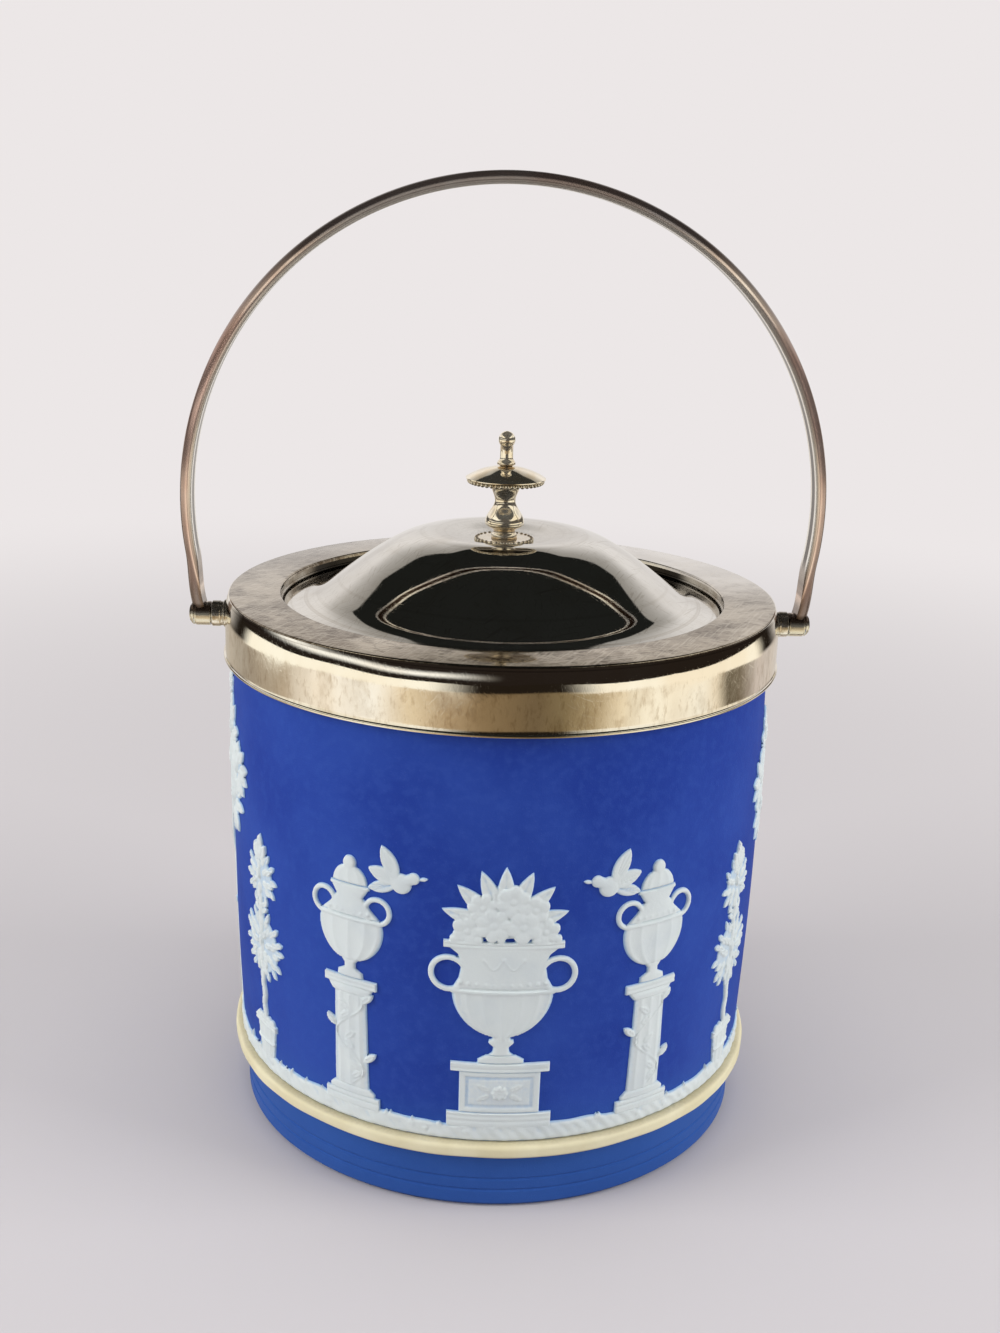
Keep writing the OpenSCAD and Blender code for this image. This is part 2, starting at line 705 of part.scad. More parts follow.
module finial_tip() {
    ring_z = 0.08 * tip_h;
    shaft_z = 0.32 * tip_h;
    ball_a = -asin(sqrt(1 - pow(tip_shaft_r / ball_r, 2)));
    color("#c8c2b2")
    translate([0, 0, tip_z])
    rotate_extrude()
    polygon(concat(
        [[0, 0], [tip_foot_r, 0]],
        swell(tip_foot_r, tip_ring_r, 0, ring_z, 4),
        swell(tip_ring_r, tip_shaft_r, ring_z, shaft_z, 6),
        arc(0, tip_h, ball_r, ball_a, 90, 10)));
}

module finial_stud() {
    low = crown_z - lid_t - washer_t - nut_h - 1.5;
    color("#9c8a5c") translate([0, 0, low]) cylinder(r = stud_r, h = stud_top - low);
}

module finial_washer() {
    color("#a88d55")
    translate([0, 0, crown_z - lid_t - slip_gap - washer_t]) difference() {
        cylinder(r = washer_r, h = washer_t);
        translate([0, 0, -1]) cylinder(r = stud_r + stud_play, h = washer_t + 2);
    }
}

module finial_nut() {
    color("#a88d55")
    translate([0, 0, crown_z - lid_t - slip_gap - washer_t - nut_h]) difference() {
        cylinder(r = nut_af / 2 / cos(30), h = nut_h, $fn = 6);
        translate([0, 0, -1]) cylinder(r = stud_r, h = nut_h + 2);
    }
}

pot();
cream_band();
ground_strip();
urn_relief();
bay_tree_relief();
vase_relief();
side_tree_relief();
dove_relief();
plaster_bedding();
collar_wall();
collar_plate();
throat_ring();
left_lug();
right_lug();
left_pivot_pin();
right_pivot_pin();
bow_handle();
lid_dome();
lid_bezel();
finial_foot_plate();
finial_stem();
finial_disc();
finial_tip();
finial_stud();
finial_washer();
finial_nut();
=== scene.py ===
"""Looks of a stoneware biscuit jar with a plated collar, a lid and a swing handle.

Shapes are drawn in millimetres and made in metres. The jar's front faces -Y, and its
foot stands on z = 0."""
import math
import bmesh
import bpy
import numpy as np
from mathutils import Matrix, Vector


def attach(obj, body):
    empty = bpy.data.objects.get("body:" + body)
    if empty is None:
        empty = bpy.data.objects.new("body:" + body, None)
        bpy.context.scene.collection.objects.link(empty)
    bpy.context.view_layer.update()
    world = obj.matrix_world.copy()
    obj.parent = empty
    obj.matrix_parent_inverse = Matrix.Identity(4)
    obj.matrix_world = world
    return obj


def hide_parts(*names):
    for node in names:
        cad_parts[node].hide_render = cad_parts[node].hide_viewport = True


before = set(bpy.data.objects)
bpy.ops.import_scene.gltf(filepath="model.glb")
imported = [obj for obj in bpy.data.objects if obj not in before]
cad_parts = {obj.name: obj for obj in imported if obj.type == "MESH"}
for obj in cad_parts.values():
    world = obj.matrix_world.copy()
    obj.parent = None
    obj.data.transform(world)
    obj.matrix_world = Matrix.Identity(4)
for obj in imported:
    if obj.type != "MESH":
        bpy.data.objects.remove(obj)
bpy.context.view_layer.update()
MM = 0.001

# ---- Sizes, in millimetres ---------------------------------------------------

BELLY_R, BELLY_Z, BASE_R = 62.8, 76.0, 61.2
FOOT_R, FOOT_H, FOOT_HOLLOW, FOOT_GROOVES = 60.4, 13.9, 1.8, (4.2, 7.0)
BAND_TOP, BAND_PROUD, GROUND_TOP, POT_TOP = 17.2, 2.3, 21.4, 120.6
BORE_R, FLOOR_Z, BORE_CORNER, LIP = 57.4, 7.0, 9.0, 1.6
GROUND_BEND_R, RELIEF_BEND_R, SLIP = BASE_R + 0.4, 63.2, 0.02
DOVE_SIZE = 0.8
DOVE_Z = 55 / DOVE_SIZE  # in the dove's drawing units
COLLAR_R, COLLAR_TOP, COLLAR_LOW, SHEET, ROLL = 64.2, 124.7, 110.2, 0.9, 0.45
LEAN_Z, LEAN = 119.1, 1.0
THROAT_R, THROAT_BEAD_Z, LEDGE_Z, LEDGE_R = 51.4, 122.35, 120.0, 48.8
LID_R, LID_EDGE_Z, LID_T, LID_ROLL, RIM_R = 50.8, 121.85, 1.0, 1.2, 45.47
FLARE_R, SHOULDER_R, BROW_R, CROWN_R, DISH_R = 41.15, 35.0, 26.0, 15.24, 7.4
EDGE_SLOPE, SIDE_SLOPE, BROW_SLOPE, DISH_D, CREST_Z = 13.0, 37.0, 30.5, 2.0, 138.67
PIVOT_Z, BOW_Z, BOW_R, BOW_HALF = 117.7, 144.0, 74.4, 2.95
BOW_SPREAD, SPREAD_H, NECK_H = 1.95, 15.0, 9.0
EYE_IN, EYE_OUT, EYE_R, PIN_R, PIN_PLAY = 67.8, 72.4, 2.8, 1.3, 0.06
LUG_IN, LUG_OUT, LUG_R, PIN_IN, PIN_OUT, PIN_HEAD_R = 63.4, 67.6, 3.0, 62.7, 73.0, 1.9
PLATE_Z, STEM_Z, DISC_Z, TIP_Z = 136.69, 137.19, 150.09, 153.89
STEM_H, TIP_H, BALL_R, FINIAL_BORE, STUD_HOLE_R = 12.9, 6.0, 1.95, 1.5, 1.6
DISC_R, DISC_EDGE, DISC_RISE, DISC_HOLLOW = 9.2, 1.1, 2.7, 1.3
# Rings of pearls: the ring's radius and height, a pearl's radius and how many there are
FOOT_PEARLS = 6.4, PLATE_Z + 0.25, 0.5, 30
DISC_PEARLS = 8.35, DISC_Z + 0.32, 0.56, 44
SMOOTH_BELOW = math.radians(48)


def wall_r(z):
    """Radius of the pot's wall at a height."""
    return BELLY_R - (BELLY_R - BASE_R) * ((z - BELLY_Z) / (BELLY_Z - BAND_TOP)) ** 2


def collar_r(z):
    """Radius of the collar's wall at a height."""
    return COLLAR_R - LEAN * (max(0.0, z - LEAN_Z) / (COLLAR_TOP - LEAN_Z)) ** 2


# ---- Lines that are turned into solids ---------------------------------------


def arc(cx, cz, r, a0, a1, n=10):
    """Points along an arc, from angle a0 to a1 in degrees."""
    turns = np.radians(np.linspace(a0, a1, n + 1))
    return [(cx + r * math.cos(a), cz + r * math.sin(a)) for a in turns]


def wave(r0, r1, z0, z1, n=12):
    """Half a wave between two radii, for hollows and rings of turned metal."""
    steps = [(i / n, (1 - math.cos(math.pi * i / n)) / 2) for i in range(1, n + 1)]
    return [(r0 + (r1 - r0) * t, z0 + (z1 - z0) * s) for s, t in steps]


def soften(line, radius, closed=True, n=4, least=25):
    """Rounds each corner of a line, and holds the flats beside it with a close point."""
    pts = [np.array(p[:2], float) for p in line]
    out = []
    for i, p in enumerate(pts):
        end = not closed and i in (0, len(pts) - 1)
        a, b = pts[i - 1], pts[(i + 1) % len(pts)]
        la, lb = np.linalg.norm(a - p), np.linalg.norm(b - p)
        if end or la < 1e-6 or lb < 1e-6:
            out.append(tuple(p))
            continue
        u, v = (a - p) / la, (b - p) / lb
        turn = math.degrees(math.pi - math.acos(max(-1.0, min(1.0, float(u @ v)))))
        if turn < least:
            out.append(tuple(p))
            continue
        t = min(radius * math.tan(math.radians(turn) / 2), 0.42 * la, 0.42 * lb)
        hold_a, hold_b = min(t + 0.12, 0.48 * la), min(t + 0.12, 0.48 * lb)
        out.append(tuple(p + u * hold_a))
        for k in range(n + 1):
            s = k / n
            out.append(tuple((1 - s) ** 2 * (p + u * t) + 2 * s * (1 - s) * p + s * s * (p + v * t)))
        out.append(tuple(p + v * hold_b))
    return out


# ---- Meshes --------------------------------------------------------------------


class Skin:
    """Points in millimetres and the faces between them, gathered for one piece."""

    def __init__(self):
        self.points, self.faces, self.count, self.depth = [], [], 0, []

    def add(self, points, faces, depth=None):
        points = np.asarray(points, float)
        self.points.append(points)
        self.faces += [tuple(int(k) + self.count for k in f) for f in faces]
        self.depth.append(np.zeros(len(points)) if depth is None else depth)
        self.count += len(points)

    def make(self, name, merge=0.0005):
        """A mesh object, with its doubles merged and its faces turned outwards."""
        mesh = bpy.data.meshes.new(name)
        mesh.from_pydata((np.vstack(self.points) * MM).tolist(), [], self.faces)
        layer = mesh.attributes.new("clay_depth", "FLOAT", "POINT")
        layer.data.foreach_set("value", np.concatenate(self.depth).astype(np.float32))
        bm = bmesh.new()
        bm.from_mesh(mesh)
        if merge:
            bmesh.ops.remove_doubles(bm, verts=bm.verts, dist=merge * MM)
        bmesh.ops.recalc_face_normals(bm, faces=bm.faces)
        loose = [v for v in bm.verts if not v.link_faces]
        bmesh.ops.delete(bm, geom=loose, context="VERTS")
        for face in bm.faces:
            face.smooth = True
        for edge in bm.edges:
            edge.smooth = edge.calc_face_angle(0.0) < SMOOTH_BELOW
        bm.to_mesh(mesh)
        bm.free()
        obj = bpy.data.objects.new(name, mesh)
        bpy.context.scene.collection.objects.link(obj)
        return obj


def lathe(skin, line, closed=True, steps=240, warp=None, axis=None):
    """A solid of revolution from (radius, height) points. A warp moves its points, and an
    axis of -1 or 1 lays it along X on that side, at the pivots' height."""
    line = [(max(0.0, r), z) for r, z in line]
    n, m = len(line), steps
    turn = np.linspace(0, 2 * np.pi, m, endpoint=False)
    r = np.array([p[0] for p in line])[:, None]
    z = np.array([p[1] for p in line])[:, None] + np.zeros((1, m))
    r, a = r + np.zeros((1, m)), turn[None, :] + np.zeros((n, 1))
    if warp:
        r, z = warp(r, z, a)
    if axis:
        xyz = np.stack([axis * z, r * np.cos(a), PIVOT_Z + r * np.sin(a)], -1)
    else:
        xyz = np.stack([r * np.cos(a), r * np.sin(a), z], -1)
    faces = []
    for i in range(n if closed else n - 1):
        j = (i + 1) % n
        if line[i][0] < 1e-6 and line[j][0] < 1e-6:
            continue
        for k in range(m):
            q = (k + 1) % m
            if line[i][0] < 1e-6:
                faces.append((i * m, j * m + q, j * m + k))
            elif line[j][0] < 1e-6:
                faces.append((i * m + k, i * m + q, j * m))
            else:
                faces.append((i * m + k, i * m + q, j * m + q, j * m + k))
    skin.add(xyz.reshape(-1, 3), faces)


def turned_piece(name, line, **options):
    """One piece that is a single solid of revolution."""
    skin = Skin()
    lathe(skin, line, **options)
    return skin.make(name)


def place(obj, body, material, slot, *nodes):
    """Gives a piece its finish and its place among the jar's bodies."""
    obj.data.materials.clear()
    obj.data.materials.append(material)
    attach(obj, body)
    if nodes:
        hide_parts(*nodes)
    return obj


# ---- Shader graphs ---------------------------------------------------------------


def tone(r, g, b):
    """A colour as it is seen, 0 to 255, as linear values."""
    lin = [c / 255 / 12.92 if c <= 10 else ((c / 255 + 0.055) / 1.055) ** 2.4 for c in (r, g, b)]
    return (*lin, 1.0)


class Value:
    """A number that changes over a surface. Sums on it add Math nodes."""

    def __init__(self, graph, socket):
        self.graph, self.socket = graph, socket

    def math(self, operation, *others, first=None):
        args = [self, *others] if first is None else [first, self]
        return self.graph.node("ShaderNodeMath", {"operation": operation}, dict(enumerate(args)))

    def __add__(self, other): return self.math("ADD", other)
    def __radd__(self, other): return self.math("ADD", other)
    def __sub__(self, other): return self.math("SUBTRACT", other)
    def __rsub__(self, other): return self.math("SUBTRACT", first=other)
    def __mul__(self, other): return self.math("MULTIPLY", other)
    def __rmul__(self, other): return self.math("MULTIPLY", other)
    def __truediv__(self, other): return self.math("DIVIDE", other)
    def __rtruediv__(self, other): return self.math("DIVIDE", first=other)
    def __pow__(self, other): return self.math("POWER", other)
    def __neg__(self): return self.math("MULTIPLY", -1.0)
    def __abs__(self): return self.math("ABSOLUTE")
    def least(self, other): return self.math("MAXIMUM", other)
    def most(self, other): return self.math("MINIMUM", other)

    def step(self, low, high):
        """0 below low, 1 above high, and a smooth change between them."""
        return self.graph.node("ShaderNodeMapRange", {"interpolation_type": "SMOOTHSTEP"},
                               {"Value": self, "From Min": low, "From Max": high})

    def near(self, centre, width):
        """1 at the centre, falling smoothly to 0 at the width on either side."""
        return 1.0 - abs(self - centre).step(0.0, width)


class Graph:
    """The nodes of a material or of the world. Lengths in it are in millimetres."""

    def __init__(self, tree, owner=None):
        self.tree, self.owner = tree, owner
        tree.nodes.clear()
        self._coords = None

    def node(self, kind, settings=None, sockets=None, out=0):
        made = self.tree.nodes.new(kind)
        for key, value in (settings or {}).items():
            if key == "stops":
                self._stops(made, value)
            else:
                setattr(made, key, value)
        for key, value in (sockets or {}).items():
            if isinstance(value, Value):
                self.tree.links.new(value.socket, made.inputs[key])
            elif value is not None:
                made.inputs[key].default_value = value
        if not len(made.outputs):
            return made
        return Value(self, made.outputs[out])

    def _stops(self, made, stops):
        band = made.color_ramp.elements
        while len(band) > 1:
            band.remove(band[-1])
        for i, (spot, seen) in enumerate(stops):
            element = band[0] if i == 0 else band.new(spot)
            element.position, element.color = spot, tone(*seen)

    def split(self, vector):
        made = self.tree.nodes.new("ShaderNodeSeparateXYZ")
        self.tree.links.new(vector.socket, made.inputs[0])
        return [Value(self, s) for s in made.outputs]

    def join(self, x, y, z):
        return self.node("ShaderNodeCombineXYZ", None, {0: x, 1: y, 2: z})

    def scaled(self, vector, *by):
        return self.node("ShaderNodeVectorMath", {"operation": "MULTIPLY"}, {0: vector, 1: by})

    def coords(self):
        """The piece's own coordinates, in metres."""
        if self._coords is None:
            self._coords = self.node("ShaderNodeTexCoord", out="Object")
        return self._coords

    def stretched(self, x=1.0, y=1.0, z=1.0):
        """The piece's coordinates in millimetres, stretched along each axis."""
        return self.scaled(self.coords(), x / MM, y / MM, z / MM)

    def radial(self):
        """Distance from the jar's axis, the unit direction round it, and height."""
        x, y, z = self.split(self.stretched())
        r = (x * x + y * y) ** 0.5
        return r, x / r.least(0.01), y / r.least(0.01), z

    def mix(self, factor, a, b):
        """Two colours mixed."""
        return self.node("ShaderNodeMix", {"data_type": "RGBA"}, {0: factor, 6: a, 7: b}, out=2)

    def coats(self, seen, *coats):
        """A colour with others laid over it, each as far as its mask says."""
        colour = tone(*seen) if isinstance(seen, tuple) else seen
        for mask, over in coats:
            colour = self.mix(mask, colour, tone(*over))
        return colour

    def noise(self, per_mm, detail=3.0, vector=None, rough=0.5, twist=0.0):
        """Cloudy noise with about this many features in a millimetre, centred on 0.5. It
        follows the piece's coordinates, or a vector in millimetres."""
        return self.node("ShaderNodeTexNoise", None, {
            "Vector": vector or self.coords(), "Scale": per_mm if vector else per_mm / MM,
            "Detail": detail, "Roughness": rough, "Distortion": twist})

    def bump(self, height, depth_mm, under=None):
        """A bump whose height of 1 stands for this many millimetres."""
        return self.node("ShaderNodeBump", None, {
            "Height": height, "Strength": 1.0, "Distance": depth_mm * MM, "Normal": under})

    def surface(self, **sockets):
        """The material, with a Principled surface whose sockets are named in words."""
        names = {key.replace("_", " ").title().replace("Ior", "IOR"): v for key, v in sockets.items()}
        shader = self.node("ShaderNodeBsdfPrincipled", None, names)
        self.node("ShaderNodeOutputMaterial", None, {"Surface": shader})
        return self.owner


def material(name, *seen):
    """The graph of a new material. Its colour in plain views is the one that is seen."""
    made = bpy.data.materials.new(name)
    made.use_nodes = True
    made.diffuse_color = tone(*seen)
    return Graph(made.node_tree, made)


# ---- Clay finishes ------------------------------------------------------------------


def blue_stoneware():
    """Dry cobalt stoneware, with soft clouds of colour and a fine sandy grain."""
    g = material("blue_stoneware", 50, 76, 158)
    _, cx, cy, z = g.radial()
    clouds, fine, grain = g.noise(0.035, 4.0), g.noise(0.5, 4.0), g.noise(3.2, 2.0)
    low = 1.0 - z.step(10.0, 30.0)
    colour = g.coats((31, 61, 154),
                     (clouds.step(0.35, 0.68), (42, 74, 166)),
                     (fine.step(0.40, 0.75) * 0.28, (58, 90, 176)),
                     (low * 0.6, (52, 98, 168)),
                     (grain.step(0.60, 0.80) * 0.25, (76, 104, 176)))
    throwing_rings = g.noise(1.0, 2.0, g.join(cx * 2.0, cy * 2.0, z))
    relief = g.bump(fine, 0.05, g.bump(grain, 0.035, g.bump(throwing_rings, 0.03)))
    return g.surface(base_color=colour, roughness=0.60 + fine * 0.22, specular_ior_level=0.2,
                     normal=relief)


def white_clay():
    """Applied white clay, thick enough to hide the blue except along its thin edges."""
    g = material("white_relief_clay", 214, 224, 226)
    depth = g.node("ShaderNodeAttribute", {"attribute_name": "clay_depth"}, out="Fac")
    cloud, fine, grain = g.noise(0.12), g.noise(1.1), g.noise(4.5, 2.0)
    thick = (depth + (fine - 0.5) * 0.22).step(0.04, 0.50)
    colour = g.coats((146, 184, 222),
                     (thick, (221, 229, 228)),
                     (cloud.step(0.42, 0.75) * 0.5, (205, 215, 219)),
                     (grain.step(0.62, 0.85) * 0.25, (186, 196, 200)))
    return g.surface(base_color=colour, roughness=0.52 + fine * 0.2, specular_ior_level=0.35,
                     normal=g.bump(fine, 0.05, g.bump(grain, 0.02)))


def cream_clay():
    """The rounded cream band, with a little brown in the lines above and below it."""
    g = material("cream_band_clay", 232, 224, 190)
    z = g.radial()[3]
    cloud, fine = g.noise(0.10), g.noise(1.4)
    lower = z.near(FOOT_H + 0.1, 0.7) * (0.35 + 0.65 * cloud)
    upper = z.near(BAND_TOP, 0.5) * (0.35 + 0.65 * fine)
    colour = g.coats((236, 228, 194),
                     (cloud.step(0.3, 0.7), (226, 216, 178)),
                     ((lower + upper).most(1.0) * 0.55, (150, 132, 104)))
    return g.surface(base_color=colour, roughness=0.42 + fine * 0.2, specular_ior_level=0.4,
                     normal=g.bump(fine, 0.04))


def plaster():
    """Old off-white plaster."""
    g = material("bedding_plaster", 214, 206, 190)
    cloud, fine = g.noise(0.2, 4.0), g.noise(2.0, 4.0)
    colour = g.coats((220, 213, 198), (cloud.step(0.35, 0.7), (190, 178, 156)))
    return g.surface(base_color=colour, roughness=0.8 + fine * 0.15, normal=g.bump(fine, 0.2))


# ---- Metal finishes -----------------------------------------------------------------


def scratches(g, amount):
    """Fine hairlines in three directions, fewer for a larger amount."""
    found = None
    for turn, per_mm in ((0.5, 0.9), (2.1, 1.1), (1.2, 0.7)):
        turned = g.node("ShaderNodeMapping", None,
                        {"Vector": g.stretched(), "Rotation": (0.3, 0.2, turn)})
        line = g.noise(per_mm, 1.0, g.scaled(turned, 4.0, 0.06, 0.6), 0.4)
        line = line.step(amount, amount + 0.05)
        found = line if found is None else found.least(line)
    return found


def lid_silver():
    """The lid's polished plate, with fine spun lines, thin cloudy tarnish and hairlines."""
    g = material("lid_silver_plate", 214, 212, 206)
    r, _, _, z = g.radial()
    spun = g.noise(3.0, 1.0, g.join(r, z * 0.5, 0.0))
    broad_spun = g.noise(0.8, 2.0, g.join(r, z * 0.5, 0.0))
    cloud, haze = g.noise(0.06, 5.0, rough=0.6), g.noise(0.016, 4.0)
    hair = scratches(g, 0.66)
    edge = r.step(41.5, 48.0)
    crown = 1.0 - r.step(13.5, 16.5)
    colour = g.coats((236, 235, 231),
                     (haze.step(0.35, 0.70), (220, 216, 208)),
                     (cloud.step(0.48, 0.74) * 0.42, (186, 176, 160)),
                     (broad_spun.step(0.50, 0.70) * (0.20 + edge * 0.25), (168, 158, 142)),
                     (hair * 0.30, (160, 150, 134)),
                     ((1.0 - r.step(13.0, 20.0)) * 0.25, (186, 178, 164)))
    rough = 0.022 + cloud.step(0.5, 0.8) * 0.03 + edge * 0.05 + hair * 0.03 + crown * 0.10
    lines = g.bump(spun, 0.0012, g.bump(hair, -0.0006))
    softer_dish = g.bump(1.0 - r.step(DISH_R, CROWN_R), 1.4, lines)  # mirrors more evenly
    return g.surface(base_color=colour, metallic=1.0, roughness=rough, normal=softer_dish)


def collar_plate_silver():
    """The top plate: a mirror under cloudy grey-brown tarnish and scratches, which falls
    slightly towards its edge in what it mirrors."""
    g = material("collar_top_silver", 176, 165, 148)
    r, cx, cy, _ = g.radial()
    cloud = g.noise(0.045, 6.0, rough=0.62, twist=0.4)
    spots = g.noise(0.30, 4.0, rough=0.6)
    hair = scratches(g, 0.58)
    clean = (cy * 0.7 + cx * 0.45).step(0.25, 0.75)
    tarnish = (cloud.step(0.36, 0.60) * 0.8 + spots.step(0.50, 0.68) * 0.5).most(1.0)
    tarnish = tarnish * (1.0 - clean * 0.75)
    colour = g.coats((184, 172, 154),
                     (clean, (242, 238, 232)),
                     (tarnish, (102, 87, 69)),
                     (hair * 0.35, (228, 220, 204)))
    out = r - THROAT_R
    fall = g.bump(-(out * 0.040 + out * out * 0.0030), 1.0)
    return g.surface(base_color=colour, metallic=1.0,
                     roughness=0.025 + tarnish * 0.10 + hair * 0.04,
                     normal=g.bump(spots, 0.0015, g.bump(hair, -0.0012, fall)))


def collar_wall_silver():
    """The collar's wall: worn plate with brown upright stains, rubbed bright at its hem."""
    g = material("collar_wall_plate", 206, 192, 162)
    _, cx, cy, z = g.radial()

    def upright(per_mm, detail, size, stretch, rough=0.5):
        """Noise that is drawn out upwards on the wall."""
        return g.noise(per_mm, detail, g.join(cx * size, cy * size, z * stretch), rough)
    broad = upright(1.0, 3.0, 3.5, 0.02)
    streak = upright(1.0, 4.0, 18.0, 0.16, 0.55)
    rubbed = upright(1.6, 3.0, 30.0, 1.0)
    grain = upright(1.0, 3.0, 60.0, 0.35, 0.6).step(0.50, 0.72)
    cloud = g.noise(0.09, 5.0, rough=0.62)
    hair = scratches(g, 0.62)
    shoulder = z.step(LEAN_Z - 0.1, LEAN_Z + 0.9)
    stain = (streak.step(0.48, 0.74) * 0.5 + cloud.step(0.52, 0.8) * 0.45).most(1.0)
    stain = stain * (1.0 - shoulder * 0.9)
    hem = 1.0 - z.step(COLLAR_LOW + 0.4, COLLAR_LOW + 1.1)
    seam = z.near(COLLAR_LOW + 1.15, 0.45) * (0.4 + 0.6 * rubbed)
    top = z.near(COLLAR_TOP - SHEET, 0.22) * (0.3 + 0.7 * rubbed)
    colour = g.coats((255, 252, 244),
                     (broad.step(0.35, 0.65), (248, 238, 222)),
                     (stain * 0.7, (178, 158, 130)),
                     (grain * (1.0 - shoulder) * 0.35, (170, 148, 116)),
                     (hem * 0.7, (250, 242, 220)),
                     ((seam * 0.2 + top * 0.6).most(1.0), (84, 66, 46)))
    rough = 0.032 + (1.0 - shoulder) * 0.04 + stain * 0.10 + hair * 0.03
    return g.surface(base_color=colour, metallic=1.0, roughness=rough,
                     normal=g.bump(cloud, 0.012, g.bump(hair, -0.0015)))


def throat_silver():
    """The throat's wall, dull and brown, with painted shade low down by the ledge and a painted dark
    reflection across its back.
    """
    g = material("throat_silver_plate", 170, 162, 148)
    _, cx, cy, z = g.radial()
    cloud = g.noise(0.12, 5.0, rough=0.6)
    # Painted shade: the wall is darkened low in the throat, by the ledge.
    painted_shade_low_in_throat = 1.0 - z.step(LEDGE_Z - 1.0, LEDGE_Z + 4.0)
    # Painted dark reflection: the back half of the throat is painted near black.
    back = (1.0 - abs(cx).step(0.87, 0.93)) * cy.step(0.0, 0.2)
    colour = g.coats((206, 200, 188),
                     (cloud.step(0.35, 0.7), (148, 132, 108)),
                     (painted_shade_low_in_throat * 0.55, (84, 72, 56)),
                     (back * 0.95, (30, 25, 20)))
    return g.surface(base_color=colour, metallic=1.0, roughness=0.16 + cloud * 0.2,
                     normal=g.bump(cloud, 0.02))


def lug_silver():
    """The pivots' barrels: neutral plate, with painted shade darkening their upper half."""
    g = material("lug_plate", 176, 164, 138)
    z = g.radial()[3]
    cloud, fine = g.noise(0.5, 4.0), g.noise(1.8)
    worn = (cloud * 0.6 + fine * 0.4).step(0.4, 0.6)
    # Painted shade: the upper half of each barrel is painted dark.
    colour = g.coats((190, 180, 160),
                     (worn, (246, 242, 232)),
                     (z.step(PIVOT_Z - 0.1, PIVOT_Z + 1.5) * 0.7, (66, 54, 44)))
    return g.surface(base_color=colour, metallic=0.90, roughness=0.12 + fine * 0.06,
                     normal=g.bump(fine, 0.008))


def bow_metal():
    """The bow: brown-grey tarnish with copper and rose tints, a painted highlight along its inner side
    with painted dark lines in it, painted shade on its outer half and on the upper half of its eyes,
    the edges of its inside worn bright, and darker on its inside and towards its eyes."""
    g = material("bow_tarnished_plate", 160, 142, 130)
    x, y, z = g.split(g.stretched())
    along = g.noise(0.040, 4.0, rough=0.6)
    tint = g.noise(0.022, 3.0, g.stretched(1.0, 0.5, 1.0))
    line = g.noise(0.5, 3.0, g.stretched(0.25, 3.0, 0.25), 0.6)
    fine = g.noise(1.6)
    up, inner_r = z - BOW_Z, BOW_R - 3.0
    from_centre = (x * x + up * up) ** 0.5
    across = (from_centre - inner_r) / 2.8
    high = z.step(170.0, 205.0)
    rose = (1.0 - high) * z.step(121.0, 127.0) * (0.20 + tint * 0.4)
    # Painted reflection: dark lines along the bow, between its painted highlights.
    painted_dark_lines = across.near(0.36, 0.07) + across.near(0.20, 0.05) * 0.6 + across.near(0.80, 0.05) * 0.4
    # Darker low down towards the eyes, except one line left bright there as a painted highlight.
    low = (1.0 - z.step(124.0, 156.0)) * (1.0 - across.near(0.42, 0.16))
    colour = g.coats((255, 244, 230),
                     (along.step(0.38, 0.66), (226, 200, 182)),
                     (tint.step(0.50, 0.72) * 0.45, (206, 160, 140)),
                     ((1.0 - tint).step(0.54, 0.74) * 0.40, (186, 164, 168)),
                     (line.step(0.5, 0.8) * 0.25, (150, 130, 116)),
                     (rose, (226, 168, 150)),
                     # painted highlight: a bright band along the bow's inner side
                     ((1.0 - across.step(0.1, 0.5)) * 0.6, (255, 250, 232)),
                     # painted shade: the outer half is darkened, most over the top of the bow
                     (across.step(0.50, 0.66) * (0.40 + high * 0.50), (62, 50, 48)),
                     (painted_dark_lines.most(1.0) * 0.55, (96, 70, 58)),
                     (low * 0.72, (92, 70, 66)))
    # Painted shade: each eye is painted dark on its upper half.
    eye = g.coats((236, 230, 210), (z.step(PIVOT_Z - 0.3, PIVOT_Z + 1.3), (74, 60, 50)))
    colour = g.mix(z.step(PIVOT_Z + 2.1, PIVOT_Z + 3.1), eye, colour)
    inside = (1.0 - from_centre.step(inner_r + 0.15, inner_r + 0.45)) * z.step(130.0, 134.0)
    worn_edge = abs(y).step(1.2, 1.9)
    colour = g.coats(colour,
                     (inside * (1.0 - worn_edge), (66, 50, 38)),
                     (inside * worn_edge, (255, 250, 242)))
    return g.surface(base_color=colour, metallic=0.78, roughness=0.13 + along * 0.08 + line * 0.05,
                     normal=g.bump(fine, 0.002, g.bump(line, 0.004)))


def turned_silver():
    """The finial's bright turned metal, with tarnish left in its hollows and painted shade under its
    disc.
    """
    g = material("finial_turned_plate", 216, 206, 182)
    r, _, _, z = g.radial()
    cloud, fine = g.noise(0.35, 4.0), g.noise(2.5)
    rings = g.noise(2.4, 2.0, g.join(0.0, 0.0, z))
    hollows = (z.near(STEM_Z + 0.21, 0.4) + z.near(STEM_Z + 1.71, 0.7)
               + z.near(TIP_Z + 0.31, 0.4))
    # Painted shade: the underside of the disc is painted dark.
    painted_shade_under_disc = z.near(DISC_Z - 0.09, 0.3) * (1.0 - r.step(7.6, 8.0))
    cap = z.step(DISC_Z - 0.09, DISC_Z + 0.31) * (1.0 - z.step(TIP_Z - 0.29, TIP_Z + 0.11))
    tarnish = (hollows.most(1.0) * 0.5 + fine.step(0.6, 0.85) * 0.15).most(1.0)
    colour = g.coats((255, 247, 228),
                     (cloud.step(0.35, 0.7), (246, 230, 200)),
                     (painted_shade_under_disc * 0.9, (52, 38, 26)),
                     (tarnish, (140, 110, 74)))
    return g.surface(base_color=colour, metallic=0.88 + cap * 0.10, roughness=0.05 + cloud * 0.05,
                     normal=g.bump(rings, 0.002, g.bump(fine, 0.003)))


